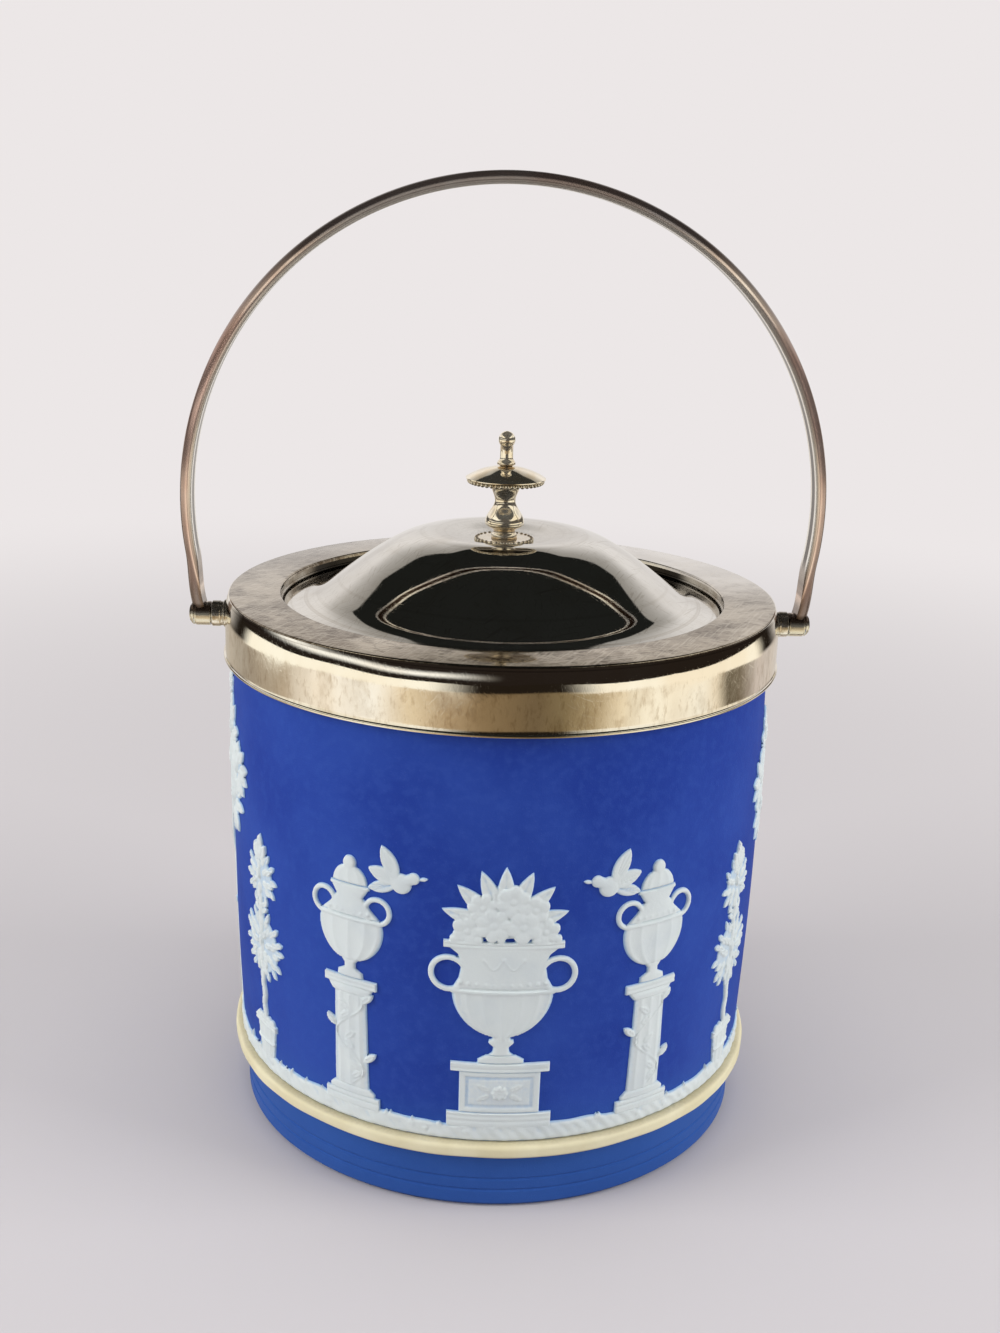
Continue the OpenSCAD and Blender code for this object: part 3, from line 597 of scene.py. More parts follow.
def brass():
    """Brass of the fixing inside the lid, dulled brown."""
    g = material("fixing_brass", 168, 138, 84)
    cloud, fine = g.noise(0.4, 4.0), g.noise(2.0)
    colour = g.coats((186, 156, 98), (cloud.step(0.4, 0.7), (124, 98, 60)))
    return g.surface(base_color=colour, metallic=1.0, roughness=0.28 + cloud * 0.2,
                     normal=g.bump(fine, 0.02))


# ---- Stoneware ---------------------------------------------------------------------


def pot_line():
    """The pot's whole line, from the hollow under the foot, up the wall and down the bore."""
    foot = [(0, FOOT_HOLLOW), (50.6, FOOT_HOLLOW), (52.4, 0), (59.4, 0), (FOOT_R, 1.0)]
    for z in FOOT_GROOVES:
        foot += [(FOOT_R, z - 0.42), (FOOT_R - 0.32, z), (FOOT_R, z + 0.42)]
    foot += [(FOOT_R, FOOT_H - 0.5), (FOOT_R + 0.25, FOOT_H)]
    foot = soften(foot, 0.35, closed=False, least=15)
    wall = [(wall_r(z), z) for z in np.linspace(FOOT_H + 0.3, POT_TOP - LIP, 60)]
    lip_r = wall_r(POT_TOP - LIP)
    lip = arc(lip_r - LIP, POT_TOP - LIP, LIP, 10, 90, 8)
    bore = arc(BORE_R + LIP, POT_TOP - LIP, LIP, 90, 180, 8)
    floor = arc(BORE_R - BORE_CORNER, FLOOR_Z + BORE_CORNER, BORE_CORNER, 0, -90, 12)
    return foot + wall + lip + bore + floor + [(0, FLOOR_Z)]


def make_pot(finish):
    """The pot, very slightly out of round, as thrown ware is."""
    def hand_thrown(r, z, a):
        sway = 0.05 * np.sin(2 * a + z * 0.05) + 0.03 * np.sin(3 * a + 1.1 - z * 0.08)
        return r + np.where(r > 20, sway, 0.0), z
    obj = turned_piece("stoneware_pot", pot_line(), closed=False, steps=288, warp=hand_thrown)
    place(obj, "jar", finish, "stoneware", "pot")


def make_cream_band(finish):
    """A rounded band of cream clay pressed on by hand."""
    out = BASE_R + BAND_PROUD
    line = [(BASE_R - 0.1, FOOT_H)] + arc(out - 1.1, FOOT_H + 1.0, 1.0, -85, 0, 8)
    line += arc(out - 1.1, BAND_TOP - 1.15, 1.05, 0, 92, 8) + [(BASE_R - 0.1, BAND_TOP)]

    def pressed(r, z, a):
        low = 0.09 * np.sin(5 * a) + 0.07 * np.sin(11 * a + 1) + 0.05 * np.sin(23 * a + 2)
        share = np.clip((r - BASE_R) / BAND_PROUD, 0, 1)
        return r + share * (0.05 * np.sin(9 * a) + 0.04 * np.sin(31 * a)), z + low * share
    obj = turned_piece("cream_clay_band", line, steps=360, warp=pressed)
    place(obj, "jar", finish, "cream_clay", "cream_band")


# ---- Applied relief ----------------------------------------------------------------


def crowned(inside, width):
    """The rise of a round back: 0 at its edge and 1 at this half width."""
    return np.sqrt(np.clip(1 - (1 - inside / width) ** 2, 0, 1))


class Clay:
    """Clay moulded on a flat grid: how far each point lies inside the outline, and how
    high it stands off the wall. Lengths are in drawing units."""

    def __init__(self, half, low, high, step, wrap=False):
        count = int(round(2 * half / step))
        xs = np.linspace(-half, half, count, endpoint=False) if wrap else np.arange(-half, half, step)
        self.x, self.y = np.meshgrid(xs, np.arange(low, high + step, step))
        self.step, self.wrap = step, wrap
        self.inside = np.full(self.x.shape, -6.0)
        self.height = np.zeros(self.x.shape)

    def lay(self, inside, height, soft=0.55):
        """Adds clay of this height, which falls off quickly at its edge."""
        edge = np.clip(inside / soft, 0, 1)
        self.inside = np.maximum(self.inside, inside)
        self.height = np.maximum(self.height, height * edge * (2 - edge))

    def press(self, inside, depth, soft=0.3):
        """Presses a hollow into the clay that is there."""
        self.height = np.maximum(self.height - depth * np.clip(inside / soft, 0, 1), 0.12)

    def disc(self, cx, cy, r):
        return r - np.hypot(self.x - cx, self.y - cy)

    def block(self, x0, x1, y0, y1):
        sides = [self.x - x0, x1 - self.x, self.y - y0, y1 - self.y]
        return np.minimum.reduce(sides)

    def path(self, points, width):
        """How far each point lies inside a strand of clay that follows the points."""
        near = np.full(self.x.shape, 99.0)
        for (ax, ay), (bx, by) in zip(points[:-1], points[1:]):
            dx, dy = bx - ax, by - ay
            t = ((self.x - ax) * dx + (self.y - ay) * dy) / max(dx * dx + dy * dy, 1e-9)
            t = np.clip(t, 0, 1)
            near = np.minimum(near, np.hypot(self.x - ax - t * dx, self.y - ay - t * dy))
        return width - near

    def strand(self, points, width, base=0.25, rise=0.4):
        inside = self.path(points, width)
        self.lay(inside, base + rise * crowned(inside, width))

    def ball(self, cx, cy, r, base=0.3, rise=0.5):
        inside = self.disc(cx, cy, r)
        self.lay(inside, base + rise * crowned(inside, r), 0.35)

    def leaf(self, cx, cy, turn, length, width, base=0.3, rise=0.3, veins=True):
        """A pointed leaf that grows from a point, turned from upright in degrees."""
        a = math.radians(turn)
        dx, dy = self.x - cx, self.y - cy
        across, along = dx * math.cos(a) + dy * math.sin(a), -dx * math.sin(a) + dy * math.cos(a)
        big = (length ** 2 + width ** 2) / (4 * width)
        inside = big - np.hypot(np.abs(across) + big - width / 2, along - length / 2)
        blade = base + rise * (0.55 + 0.45 * np.clip(along / length, 0, 1))
        if veins:
            blade -= 0.16 * np.exp(-(across / (0.07 * width + 0.1)) ** 2)
            side = np.cos((along - 0.8 * np.abs(across)) * 2 * np.pi / (0.16 * length + 0.4))
            blade += 0.035 * side
        self.lay(inside, blade, 0.4)

    def turned(self, cx, line, base=0.25, rise=0.6, flutes=0, cut=0.12):
        """A turned body seen from the front: a line of (height, half width), with flutes."""
        ys, ws = [p[0] for p in line], [p[1] for p in line]
        half = np.interp(self.y, ys, ws)
        inside = np.minimum.reduce([half - np.abs(self.x - cx), self.y - ys[0], ys[-1] - self.y])
        share = np.clip((self.x - cx) / np.maximum(half, 0.1), -1, 1)
        body = base + rise * np.sqrt(1 - share ** 2)
        if flutes:
            body -= cut * np.abs(np.sin(np.arcsin(share) * flutes)) ** 0.7
        self.lay(inside, body, 0.4)

    def moulding(self, cx, half, y0, y1, height, lines=(0.5,)):
        """A flat moulding with pressed lines along it."""
        self.lay(self.block(cx - half, cx + half, y0, y1), height, 0.35)
        for share in lines:
            y = y0 + share * (y1 - y0)
            self.press(self.block(cx - half + 0.2, cx + half - 0.2, y - 0.28, y + 0.28), 0.2, 0.25)

    def rosette(self, cx, cy, r, petals=6, base=0.45, turn=0.0):
        """An open flower with a button in its middle."""
        a = np.arctan2(self.y - cy, self.x - cx) + turn
        dist = np.hypot(self.x - cx, self.y - cy)
        lobe = r * (0.80 + 0.20 * np.abs(np.cos(a * petals / 2)))
        cup = base + 0.34 * np.sin(np.clip(dist / lobe, 0, 1) * np.pi * 0.8)
        cup -= 0.16 * np.abs(np.sin(a * petals / 2)) ** 8 * np.clip(dist / r, 0, 1)
        self.lay(lobe - dist, cup, 0.35)
        self.ball(cx, cy, 0.27 * r, base + 0.05, 0.28)

    def ring(self, cx, cy, outer, inner, base=0.3, rise=0.35):
        dist = np.hypot(self.x - cx, self.y - cy)
        inside = np.minimum(outer - dist, dist - inner)
        self.lay(inside, base + rise * crowned(inside, (outer - inner) / 2), 0.3)

    def shell(self):
        """The front and back as one closed skin: x, y, height, and the faces."""
        grid = np.arange(self.x.size).reshape(self.x.shape)
        solid = self.inside > 0
        if self.wrap:
            grid, solid = [np.hstack([v, v[:, :1]]) for v in (grid, solid)]
        quads = np.stack([grid[:-1, :-1], grid[:-1, 1:], grid[1:, 1:], grid[1:, :-1]], -1)
        kept = solid[:-1, :-1] | solid[:-1, 1:] | solid[1:, 1:] | solid[1:, :-1]
        quads = quads[kept]
        slope_y, slope_x = np.gradient(self.inside, self.step)
        steep = np.maximum(slope_x ** 2 + slope_y ** 2, 0.2)
        shift = np.where(self.inside < 0, -self.inside / steep, 0)
        reach = 1.25 * self.step
        x = (self.x + np.clip(shift * slope_x, -reach, reach)).ravel()
        y = (self.y + np.clip(shift * slope_y, -reach, reach)).ravel()
        inner = self.inside.ravel() > 0
        high = np.where(inner, self.height.ravel(), -SLIP)
        back = np.where(inner, np.arange(x.size) + x.size, np.arange(x.size))
        faces = np.vstack([quads, back[quads][:, ::-1]])
        used, faces = np.unique(faces, return_inverse=True)
        faces = faces.reshape(-1, 4)
        x, y = np.tile(x, 2)[used], np.tile(y, 2)[used]
        high = np.concatenate([high, np.full(high.size, -SLIP)])[used]
        return x, y, high, faces


def lay_on_wall(skin, clay, size, turn):
    """Bends a shape of clay round the pot, at an angle from the front."""
    x, y, high, faces = clay.shell()
    z = GROUND_TOP + SLIP + y * size
    if clay.wrap:
        angle = x / GROUND_BEND_R
    else:
        angle = np.arcsin(x * size / RELIEF_BEND_R) + math.radians(turn)
    r = wall_r(z) + SLIP + high
    skin.add(np.stack([r * np.sin(angle), -r * np.cos(angle), z], -1), faces, np.maximum(high, 0))


def flower_urn(step):
    """A fluted urn of flowers on a panelled pedestal."""
    c = Clay(22, -1.5, 82, step)
    c.moulding(0, 15, -0.8, 4, 0.62, (0.42, 0.75))
    c.lay(c.block(-11.5, 11.5, 3.9, 17.1), 0.5, 0.4)
    c.press(c.block(-9.8, 9.8, 5.4, 15.7), 0.22, 0.3)
    c.lay(c.block(-8.9, 8.9, 6.3, 14.8), 0.42, 0.4)
    c.rosette(0, 10.5, 2.5, 8, 0.48)
    for side in (-1, 1):
        for lift in (-1, 1):
            c.leaf(side * 2.1, 10.5 + lift * 0.5, -side * (90 - lift * 24), 5.2, 1.7, 0.46, 0.22)
    c.moulding(0, 14, 17, 20, 0.75, (0.4,))
    for k in range(-8, 9):
        c.lay(c.block(k * 1.55 - 0.42, k * 1.55 + 0.42, 17.3, 18.1), 0.62, 0.2)
    c.turned(0, [(19.9, 6.5), (21.2, 6.5), (22.6, 4.2)], 0.35, 0.35)
    c.turned(0, [(22.4, 3.8), (23.6, 2.4), (25, 2.2), (26.3, 3.6), (27.5, 3.4)], 0.3, 0.45)
    for side in (-1, 1):
        c.ring(side * 15, 47, 5.6, 3.9, 0.3, 0.3)
    bowl = [(y, math.sqrt(max(14 ** 2 - (42 - y) ** 2, 1))) for y in np.linspace(28.2, 42, 22)]
    c.turned(0, [(26.6, 3.4)] + bowl, 0.3, 0.62, 8, 0.2)
    c.turned(0, [(41.2, 14.4), (42.8, 14.4)], 0.42, 0.62)
    c.turned(0, [(42.8, 13.9), (46, 12.2), (50, 11.5), (53, 12.6), (55.2, 15.4)], 0.3, 0.52)
    for k in range(-5, 6):
        c.ball(2.35 * k, 44.3 + 0.02 * k * k, 0.8, 0.62, 0.3)
    for side in (-1, 1):
        swag = [(side * (0.4 + 4.6 * t), 51.6 - 2.6 * math.sin(math.pi * t))
                for t in np.linspace(0, 1, 9)]
        c.strand(swag, 0.62, 0.62, 0.32)
        c.ball(side * 5.4, 51.8, 0.85, 0.62, 0.3)
    c.ball(0, 51.9, 0.9, 0.66, 0.3)
    c.moulding(0, 16.5, 54.9, 57.1, 0.85, (0.5,))
    fan = [-75, -48, -24, 0, 22, 47, 74]
    for k, a in enumerate(fan):
        c.leaf(0, 61, a, 18, 5, 0.24 + 0.04 * (k % 2), 0.3)
    for k, a in enumerate([-60, -34, -10, 12, 36, 60]):
        c.leaf(0, 58, a, 15, 4.2, 0.36 + 0.04 * (k % 2), 0.3)
    blooms = [(-10, 60, 4.6), (11, 60, 4.2), (-6, 67, 4.4), (8, 66.5, 4.2), (2, 69, 4.8),
              (-3, 62, 5.2), (5, 61.5, 5)]
    for k, (bx, by, br) in enumerate(blooms):
        c.rosette(bx, by, br, 5 + k % 3, 0.48 + 0.04 * k, 0.7 * k)
    for bx, by in [(-13.6, 57.6), (14.4, 57.8), (-1, 57.9), (8.5, 57.6), (-7, 57.6)]:
        c.ball(bx, by, 1.3, 0.6, 0.35)
    return c


def covered_vase(step):
    """A covered vase on a fluted column with a twist of leaves."""
    c = Clay(13, -1.5, 64, step)
    c.moulding(0, 7.5, -0.8, 2.5, 0.62, (0.6,))
    c.turned(0, [(2.4, 6.2), (3.4, 6.3), (4.6, 5.0)], 0.32, 0.4)
    c.turned(0, [(4.4, 4.7), (28.6, 4.3)], 0.28, 0.5, 5, 0.18)
    for k in range(9):
        y = 6.5 + 2.5 * k
        x = 3.6 * math.sin(k * 0.9)
        c.leaf(x, y, 50 if k % 2 else -50, 4.2, 1.9, 0.66, 0.25)
    twist = [(3.6 * math.sin(t * 0.36), 5 + t) for t in np.linspace(0, 23, 40)]
    c.strand(twist, 0.45, 0.66, 0.2)
    c.turned(0, [(28.3, 4.6), (30.3, 6.2)], 0.4, 0.45, 0)
    c.moulding(0, 7, 30.2, 32.5, 0.72, (0.5,))
    up = 32.5
    stem = [(up, 3.5), (up + 1.4, 3.3), (up + 2.4, 1.5), (up + 3.6, 1.5), (up + 4.8, 2.6)]
    c.turned(0, stem, 0.3, 0.4)
    for side in (-1, 1):
        c.ring(side * 7, up + 17.5, 3.6, 2.3, 0.3, 0.3)
    bowl = [(up + y, math.sqrt(max(8.5 ** 2 - (12.5 - y) ** 2, 0.5)))
            for y in np.linspace(4.4, 13, 16)]
    c.turned(0, bowl + [(up + 15.1, 8.05)], 0.3, 0.6, 6, 0.18)
    c.turned(0, [(up + 14.2, 8.3), (up + 15.4, 8.3)], 0.45, 0.55)
    c.turned(0, [(up + 15.3, 7.8), (up + 17.5, 5.4), (up + 20, 3.5), (up + 22.5, 5.1)], 0.32, 0.5)
    for k in range(-3, 4):
        c.ball(1.65 * k, up + 16.5, 0.62, 0.66, 0.25)
    c.turned(0, [(up + 22, 5.2), (up + 23, 5.2)], 0.45, 0.4)
    lid = [(up + 23 + y, math.sqrt(max(4.6 ** 2 - y * y, 0.3))) for y in np.linspace(0, 4.3, 10)]
    c.turned(0, lid, 0.35, 0.45, 5, 0.12)
    c.ball(0, up + 28, 1.7, 0.45, 0.4)
    return c


def leafy_ball(c, cx, cy, r, count, length, rows=4, base=0.22, seed=1):
    """Foliage in rows of overlapping leaves, from the outside in."""
    rng = np.random.default_rng(seed)
    c.lay(c.disc(cx, cy, r), 0.3, 0.6)
    for row in range(rows):
        ring = (r - 1.2) * (1 - row / rows)
        n = max(3, int(round(count * (1 - 0.8 * row / rows))))
        for k in range(n):
            a = 360 * (k + 0.5 * (row % 2)) / n + rng.uniform(-7, 7)
            t = math.radians(a)
            lx, ly = cx - ring * math.sin(t), cy + ring * math.cos(t)
            lift = base + 0.42 * row / rows + rng.uniform(0, 0.08)
            c.leaf(lx, ly, a + rng.uniform(-14, 14), length, 0.5 * length, lift, 0.24)
    c.leaf(cx, cy - 1.2, rng.uniform(-20, 20), length, 0.5 * length, base + 0.5, 0.24)


def bay_tree(step):
    """A clipped bay tree with two balls of leaves in a reeded pot."""
    c = Clay(15, -1.5, 79, step)
    c.turned(0, [(-0.8, 4.6), (0, 4.7), (10, 6.4)], 0.3, 0.5, 5, 0.2)
    c.turned(0, [(4.2, 5.55), (5.6, 5.85)], 0.5, 0.5)
    c.moulding(0, 7.2, 9.8, 12.1, 0.75, (0.5,))
    for k in range(-2, 3):
        c.ball(2.3 * k, 12.7 - 0.12 * k * k, 1.5, 0.35, 0.3)
    trunk = [(0.35 * math.sin(t * 0.8), 12 + t) for t in np.linspace(0, 47, 40)]
    c.strand(trunk, 1.3, 0.3, 0.42)
    for k in range(14):
        y = 14 + 3.1 * k
        c.press(c.path([(-1.4, y), (1.4, y + 1.3)], 0.24), 0.16, 0.2)
    leafy_ball(c, 0, 39, 9.5, 15, 4.6, 4, 0.22, 3)
    leafy_ball(c, 0, 62, 7.0, 12, 4.4, 3, 0.22, 5)
    for a in (-32, 32, 0):
        c.leaf(0, 67.5, a, 9 - abs(a) * 0.07, 3.6, 0.4, 0.3)
    for y in (50.2, 52.2):
        for side in (-1, 1):
            c.leaf(side * 0.4, y, -side * 62, 4.4, 2.0, 0.34, 0.26)
    return c


def spreading_tree(step):
    """A spreading tree with clumps of long leaves."""
    c = Clay(31, -1.5, 88, step)
    trunk = [(-0.8, 4.6), (4, 3.6), (10, 2.3), (34, 2.0), (40, 2.4), (46, 3.3)]
    c.turned(0, trunk, 0.3, 0.5)
    rng = np.random.default_rng(8)
    for k in range(18):
        y = rng.uniform(1, 42)
        x = rng.uniform(-1.6, 1.6)
        c.press(c.path([(x, y), (x + rng.uniform(-0.5, 0.5), y + rng.uniform(3, 6))], 0.22), 0.2, 0.2)
    for turn, length in [(-38, 30), (36, 28), (-16, 34), (18, 34)]:
        t = math.radians(turn)
        tip = (-length * math.sin(t), 36 + length * math.cos(t))
        mid = (0.45 * tip[0] + 1.2, 36 + 0.5 * (tip[1] - 36))
        c.strand([(0, 36), mid, tip], 1.05, 0.3, 0.42)
    for x, y, turn in [(-3, 18, 58), (3, 24, -62), (-2, 30, 50)]:
        c.leaf(x * 0.4, y, turn, 6.5, 2.2, 0.34, 0.28)
    clumps = [(-15, 56, 6.4), (-19, 64, 5), (-7, 64, 6.8), (-12, 72, 5.6), (1, 72, 6.6),
              (8, 63, 6.6), (16, 57, 6.2), (20, 65, 4.8), (12, 72, 5.8), (3, 80, 5)]
    for k, (x, y, r) in enumerate(clumps):
        leafy_ball(c, x, y, r - 1.6, 10, 5.2, 2, 0.2 + 0.02 * k, 20 + k)
    return c


def dove(step, side):
    """A dove in flight, facing the urn."""
    c = Clay(13, -7, 14, step)
    flip = c.x.copy()
    c.x = c.x * side
    c.leaf(-1, -0.6, 104, 9, 3.6, 0.26, 0.22, False)
    for k in range(-1, 2):
        a = math.radians(104 + 7 * k)
        c.press(c.path([(-3, -1), (-1 - 9 * math.sin(a), -0.6 + 9 * math.cos(a))], 0.18), 0.14, 0.16)
    c.ball(0, 0, 2.9, 0.3, 0.45)
    c.strand([(0, 0.4), (3.4, 1.9)], 1.6, 0.3, 0.45)
    c.ball(3.4, 1.9, 1.7, 0.34, 0.4)
    c.leaf(4.6, 1.8, -80, 2.8, 1.2, 0.3, 0.2, False)
    c.leaf(0, 0, 72, 10, 4.4, 0.42, 0.25, False)
    c.leaf(-0.8, 0.6, 28, 10.5, 4.4, 0.5, 0.25, False)
    for turn, wing_x, wing_y in [(72, 0, 0), (28, -0.8, 0.6)]:
        for k in range(-1, 2):
            a = math.radians(turn + 8 * k)
            tip = (wing_x - 10 * math.sin(a), wing_y + 10 * math.cos(a))
            root = (wing_x - 3 * math.sin(a), wing_y + 3 * math.cos(a))
            c.press(c.path([root, tip], 0.16), 0.15, 0.16)
    c.x = flip
    c.y = c.y + DOVE_Z
    return c


def ground(step):
    """The strip of earth that everything stands on, with an uneven top and some grass."""
    half = math.pi * GROUND_BEND_R
    c = Clay(half, -4.6, 2.2, step, wrap=True)
    turn = c.x / GROUND_BEND_R
    top = 0.1 + 0.22 * np.sin(7 * turn + 0.4) + 0.18 * np.sin(19 * turn + 2) + 0.12 * np.sin(43 * turn)
    inside = np.minimum(c.y + 4.16, top - c.y)
    rock = 0.52 + 0.10 * np.sin(c.x * 0.9) * np.sin(c.y * 1.3 + 5 * turn)
    rock += 0.07 * np.sin(c.x * 2.3 + c.y * 2)
    c.lay(inside, rock + 0.10 * np.clip((-1.2 - c.y) / 3, 0, 1), 0.7)
    rng = np.random.default_rng(4)
    for _ in range(120):
        x = rng.uniform(-half + 3, half - 3)
        a = rng.uniform(-34, 34)
        c.leaf(x, -1.4 + rng.uniform(-0.5, 0.2), a, rng.uniform(1.8, 3.0), 0.9, 0.42, 0.28, False)
    for _ in range(60):
        x, y = rng.uniform(-half + 3, half - 3), rng.uniform(-3.2, -1.2)
        c.ball(x, y, rng.uniform(0.5, 1.2), 0.45, 0.3)
    return c


def make_reliefs(finish):
    """All the applied white clay, on the front and again on the back: each piece's name,
    node and size, and its shapes of clay with the angles at which they are laid."""
    fine = 1.0
    doves = [(dove(0.25 * fine, 1), (-20, 160)), (dove(0.25 * fine, -1), (20, 200))]
    pieces = [
        ("white_ground_strip", "ground_strip", 1.0, [(ground(0.36 * fine), (0,))]),
        ("flower_urns", "urn_relief", 0.77, [(flower_urn(0.32 * fine), (0, 180))]),
        ("covered_vases", "vase_relief", 0.95, [(covered_vase(0.27 * fine), (-31, 31, 149, 211))]),
        ("clipped_bay_trees", "bay_tree_relief", 0.72, [(bay_tree(0.33 * fine), (-58, 58, 122, 238))]),
        ("spreading_trees", "side_tree_relief", 1.0, [(spreading_tree(0.30 * fine), (90, 270))]),
        ("flying_doves", "dove_relief", DOVE_SIZE, doves)]
    for name, node, size, shapes in pieces:
        skin = Skin()
        for clay, turns in shapes:
            for turn in turns:
                lay_on_wall(skin, clay, size, turn)
        place(skin.make(name, merge=0), "jar", finish, "white_clay", node)


# ---- Collar and throat --------------------------------------------------------------


def make_collar(wall_finish, top_finish, throat_finish):
    """The collar's wall with a rolled hem, its flat top plate and the throat's ring."""
    lean = [(collar_r(z), z) for z in np.linspace(LEAN_Z, COLLAR_TOP - 0.35, 17)]
    hem = arc(COLLAR_R - 0.05, COLLAR_LOW + ROLL, ROLL, -90, 80, 8)
    inner = [(r - SHEET, z) for r, z in reversed(lean)]
    line = [(COLLAR_R - SHEET, COLLAR_LOW)] + hem + [(COLLAR_R, COLLAR_LOW + 1.1)]
    line += [(COLLAR_R, z) for z in np.linspace(112, 118.5, 5)] + lean + inner

    def worn(r, z, a):
        dent = 0.04 * np.sin(3 * a + 0.3) + 0.03 * np.sin(8 * a + z * 0.3)
        return r + dent + 0.015 * np.sin(17 * a - z * 0.5), z
    wall = turned_piece("collar_wall_sheet", line, steps=360, warp=worn)
    place(wall, "jar", wall_finish, "worn_plate", "collar_wall")

    edge, top, under = collar_r(COLLAR_TOP), COLLAR_TOP - 0.03, COLLAR_TOP - SHEET
    rim = arc(edge - 0.42, top - ROLL, ROLL, -20, 90, 8)
    throat_edge = arc(THROAT_R + ROLL, top - ROLL, ROLL, 90, 180, 8)
    line = [(THROAT_R, under), (edge - 0.1, under)] + rim
    line += [(r, top) for r in np.linspace(edge - 0.75, THROAT_R + 0.8, 24)] + throat_edge

    def hammered(r, z, a):
        sway = 0.008 * np.sin(4 * a + r * 0.4) + 0.005 * np.sin(9 * a - r * 0.7)
        return r, z + np.where(z > COLLAR_TOP - 0.6, sway, 0)
    plate = turned_piece("collar_top_plate", line, steps=360, warp=hammered)
    place(plate, "jar", top_finish, "silver_plate", "collar_plate")

    ledge_low, bead_low = LEDGE_Z - SHEET, THROAT_BEAD_Z - 0.7
    line = [(THROAT_R + SHEET, under), (THROAT_R + SHEET, ledge_low), (LEDGE_R, ledge_low)]
    line += soften([(LEDGE_R, ledge_low), (LEDGE_R, LEDGE_Z), (THROAT_R, LEDGE_Z),
                    (THROAT_R, bead_low)], 0.25, closed=False)[1:]
    line += arc(THROAT_R, THROAT_BEAD_Z, 0.35, -90, -270, 10)
    line += [(THROAT_R, THROAT_BEAD_Z + 0.6), (THROAT_R, under)]
    ring = turned_piece("throat_ring_plate", line, steps=300)
    place(ring, "jar", throat_finish, "silver_plate", "throat_ring")


def make_pivots(lug_finish, pin_finish):
    """A fixed barrel and a riveted pin on each side."""
    base_r, waist_r = LUG_R + 0.25, LUG_R - 0.15
    barrel = [(PIN_R, LUG_IN), (base_r, LUG_IN), (base_r, LUG_IN + 1.3), (waist_r, LUG_IN + 1.6),
              (waist_r, LUG_IN + 2.1), (LUG_R, LUG_IN + 2.4), (LUG_R, LUG_OUT - 0.1),
              (LUG_R - 0.35, LUG_OUT), (PIN_R, LUG_OUT)]
    brim, cap = EYE_OUT + 0.25, arc(0, 0, 1, 52, 90, 8)
    (cap_r, cap_z), (_, cap_top) = cap[0], cap[-1]
    rise = (PIN_OUT - brim) / (cap_top - cap_z)
    pin = [(0, PIN_IN), (PIN_R, PIN_IN), (PIN_R, EYE_OUT + 0.1), (PIN_HEAD_R, EYE_OUT + 0.1)]
    pin += [(r / cap_r * PIN_HEAD_R, brim + (z - cap_z) * rise) for r, z in cap[:-1]]
    pin += [(0, PIN_OUT)]
    for side, word in ((-1, "left"), (1, "right")):
        lug = turned_piece(word + "_barrel_lug", soften(barrel, 0.18, least=15), steps=72, axis=side)
        place(lug, "jar", lug_finish, "worn_plate", word + "_lug")
        rivet = turned_piece(word + "_riveted_pin", pin, closed=False, steps=64, axis=side)
        place(rivet, "jar", pin_finish, "handle_plate", word + "_pivot_pin")


def bow_centre(z_low, n=150):
    """The bow's middle line from one eye over the top to the other, flared at its ends."""
    mid_r = BOW_R - BOW_HALF / 2
    low = -math.asin((BOW_Z - z_low) / mid_r)
    pts = []
    for t in np.linspace(low, math.pi - low, n):
        x, z = mid_r * math.cos(t), BOW_Z + mid_r * math.sin(t)
        s = max(0.0, min(1.0, (PIVOT_Z + SPREAD_H - z) / SPREAD_H))
        pts.append((x + math.copysign(BOW_SPREAD * s * s * (3 - 2 * s), x), z))
    return np.array(pts)


def make_bow(finish):
    """The half-round bow with an eye at each end."""
    skin = Skin()
    path = bow_centre(PIVOT_Z + 1.75, 220)
    ahead = np.gradient(path, axis=0)
    ahead /= np.linalg.norm(ahead, axis=1)[:, None]
    outward = np.stack([ahead[:, 1], -ahead[:, 0]], -1)
    flat = -BOW_HALF / 2
    half = [(BOW_HALF * math.cos(a), flat + 0.1 + BOW_HALF * math.sin(a) * 0.97)
            for a in np.linspace(0.0, math.pi, 25)]
    section = soften([(BOW_HALF - 0.1, flat)] + half + [(-BOW_HALF + 0.1, flat)], 0.22, least=40)
    section = np.array(section)
    m, last = len(section), len(path) - 1
    fade = np.clip((path[:, 1] - PIVOT_Z) / NECK_H, 0, 1)
    wide = 0.86 + 0.14 * fade * fade * (3 - 2 * fade)  # narrower by the eyes
    points = []
    for p, o, w in zip(path, outward, wide):
        points += [(p[0] + o[0] * s[1], s[0] * w, p[1] + o[1] * s[1]) for s in section]
    faces = []
    for i in range(last):
        for k in range(m):
            q = (k + 1) % m
            faces.append((i * m + k, i * m + q, (i + 1) * m + q, (i + 1) * m + k))
    faces += [tuple(range(m)), tuple(range(last * m, (last + 1) * m))]
    skin.add(points, faces)
    bore, hollow_r = PIN_R + PIN_PLAY, EYE_R - 0.22
    eye = [(bore, EYE_IN), (EYE_R - 0.15, EYE_IN), (EYE_R, EYE_IN + 0.2), (EYE_R, EYE_OUT - 1.15),
           (hollow_r, EYE_OUT - 0.95), (hollow_r, EYE_OUT - 0.8), (EYE_R - 0.1, EYE_OUT - 0.6),
           (EYE_R - 0.5, EYE_OUT), (bore, EYE_OUT)]
    for side in (-1, 1):
        lathe(skin, soften(eye, 0.15, least=18), steps=72, axis=side)
    place(skin.make("swing_bow"), "handle", finish, "handle_plate", "bow_handle")


# ---- Lid and finial -------------------------------------------------------------------


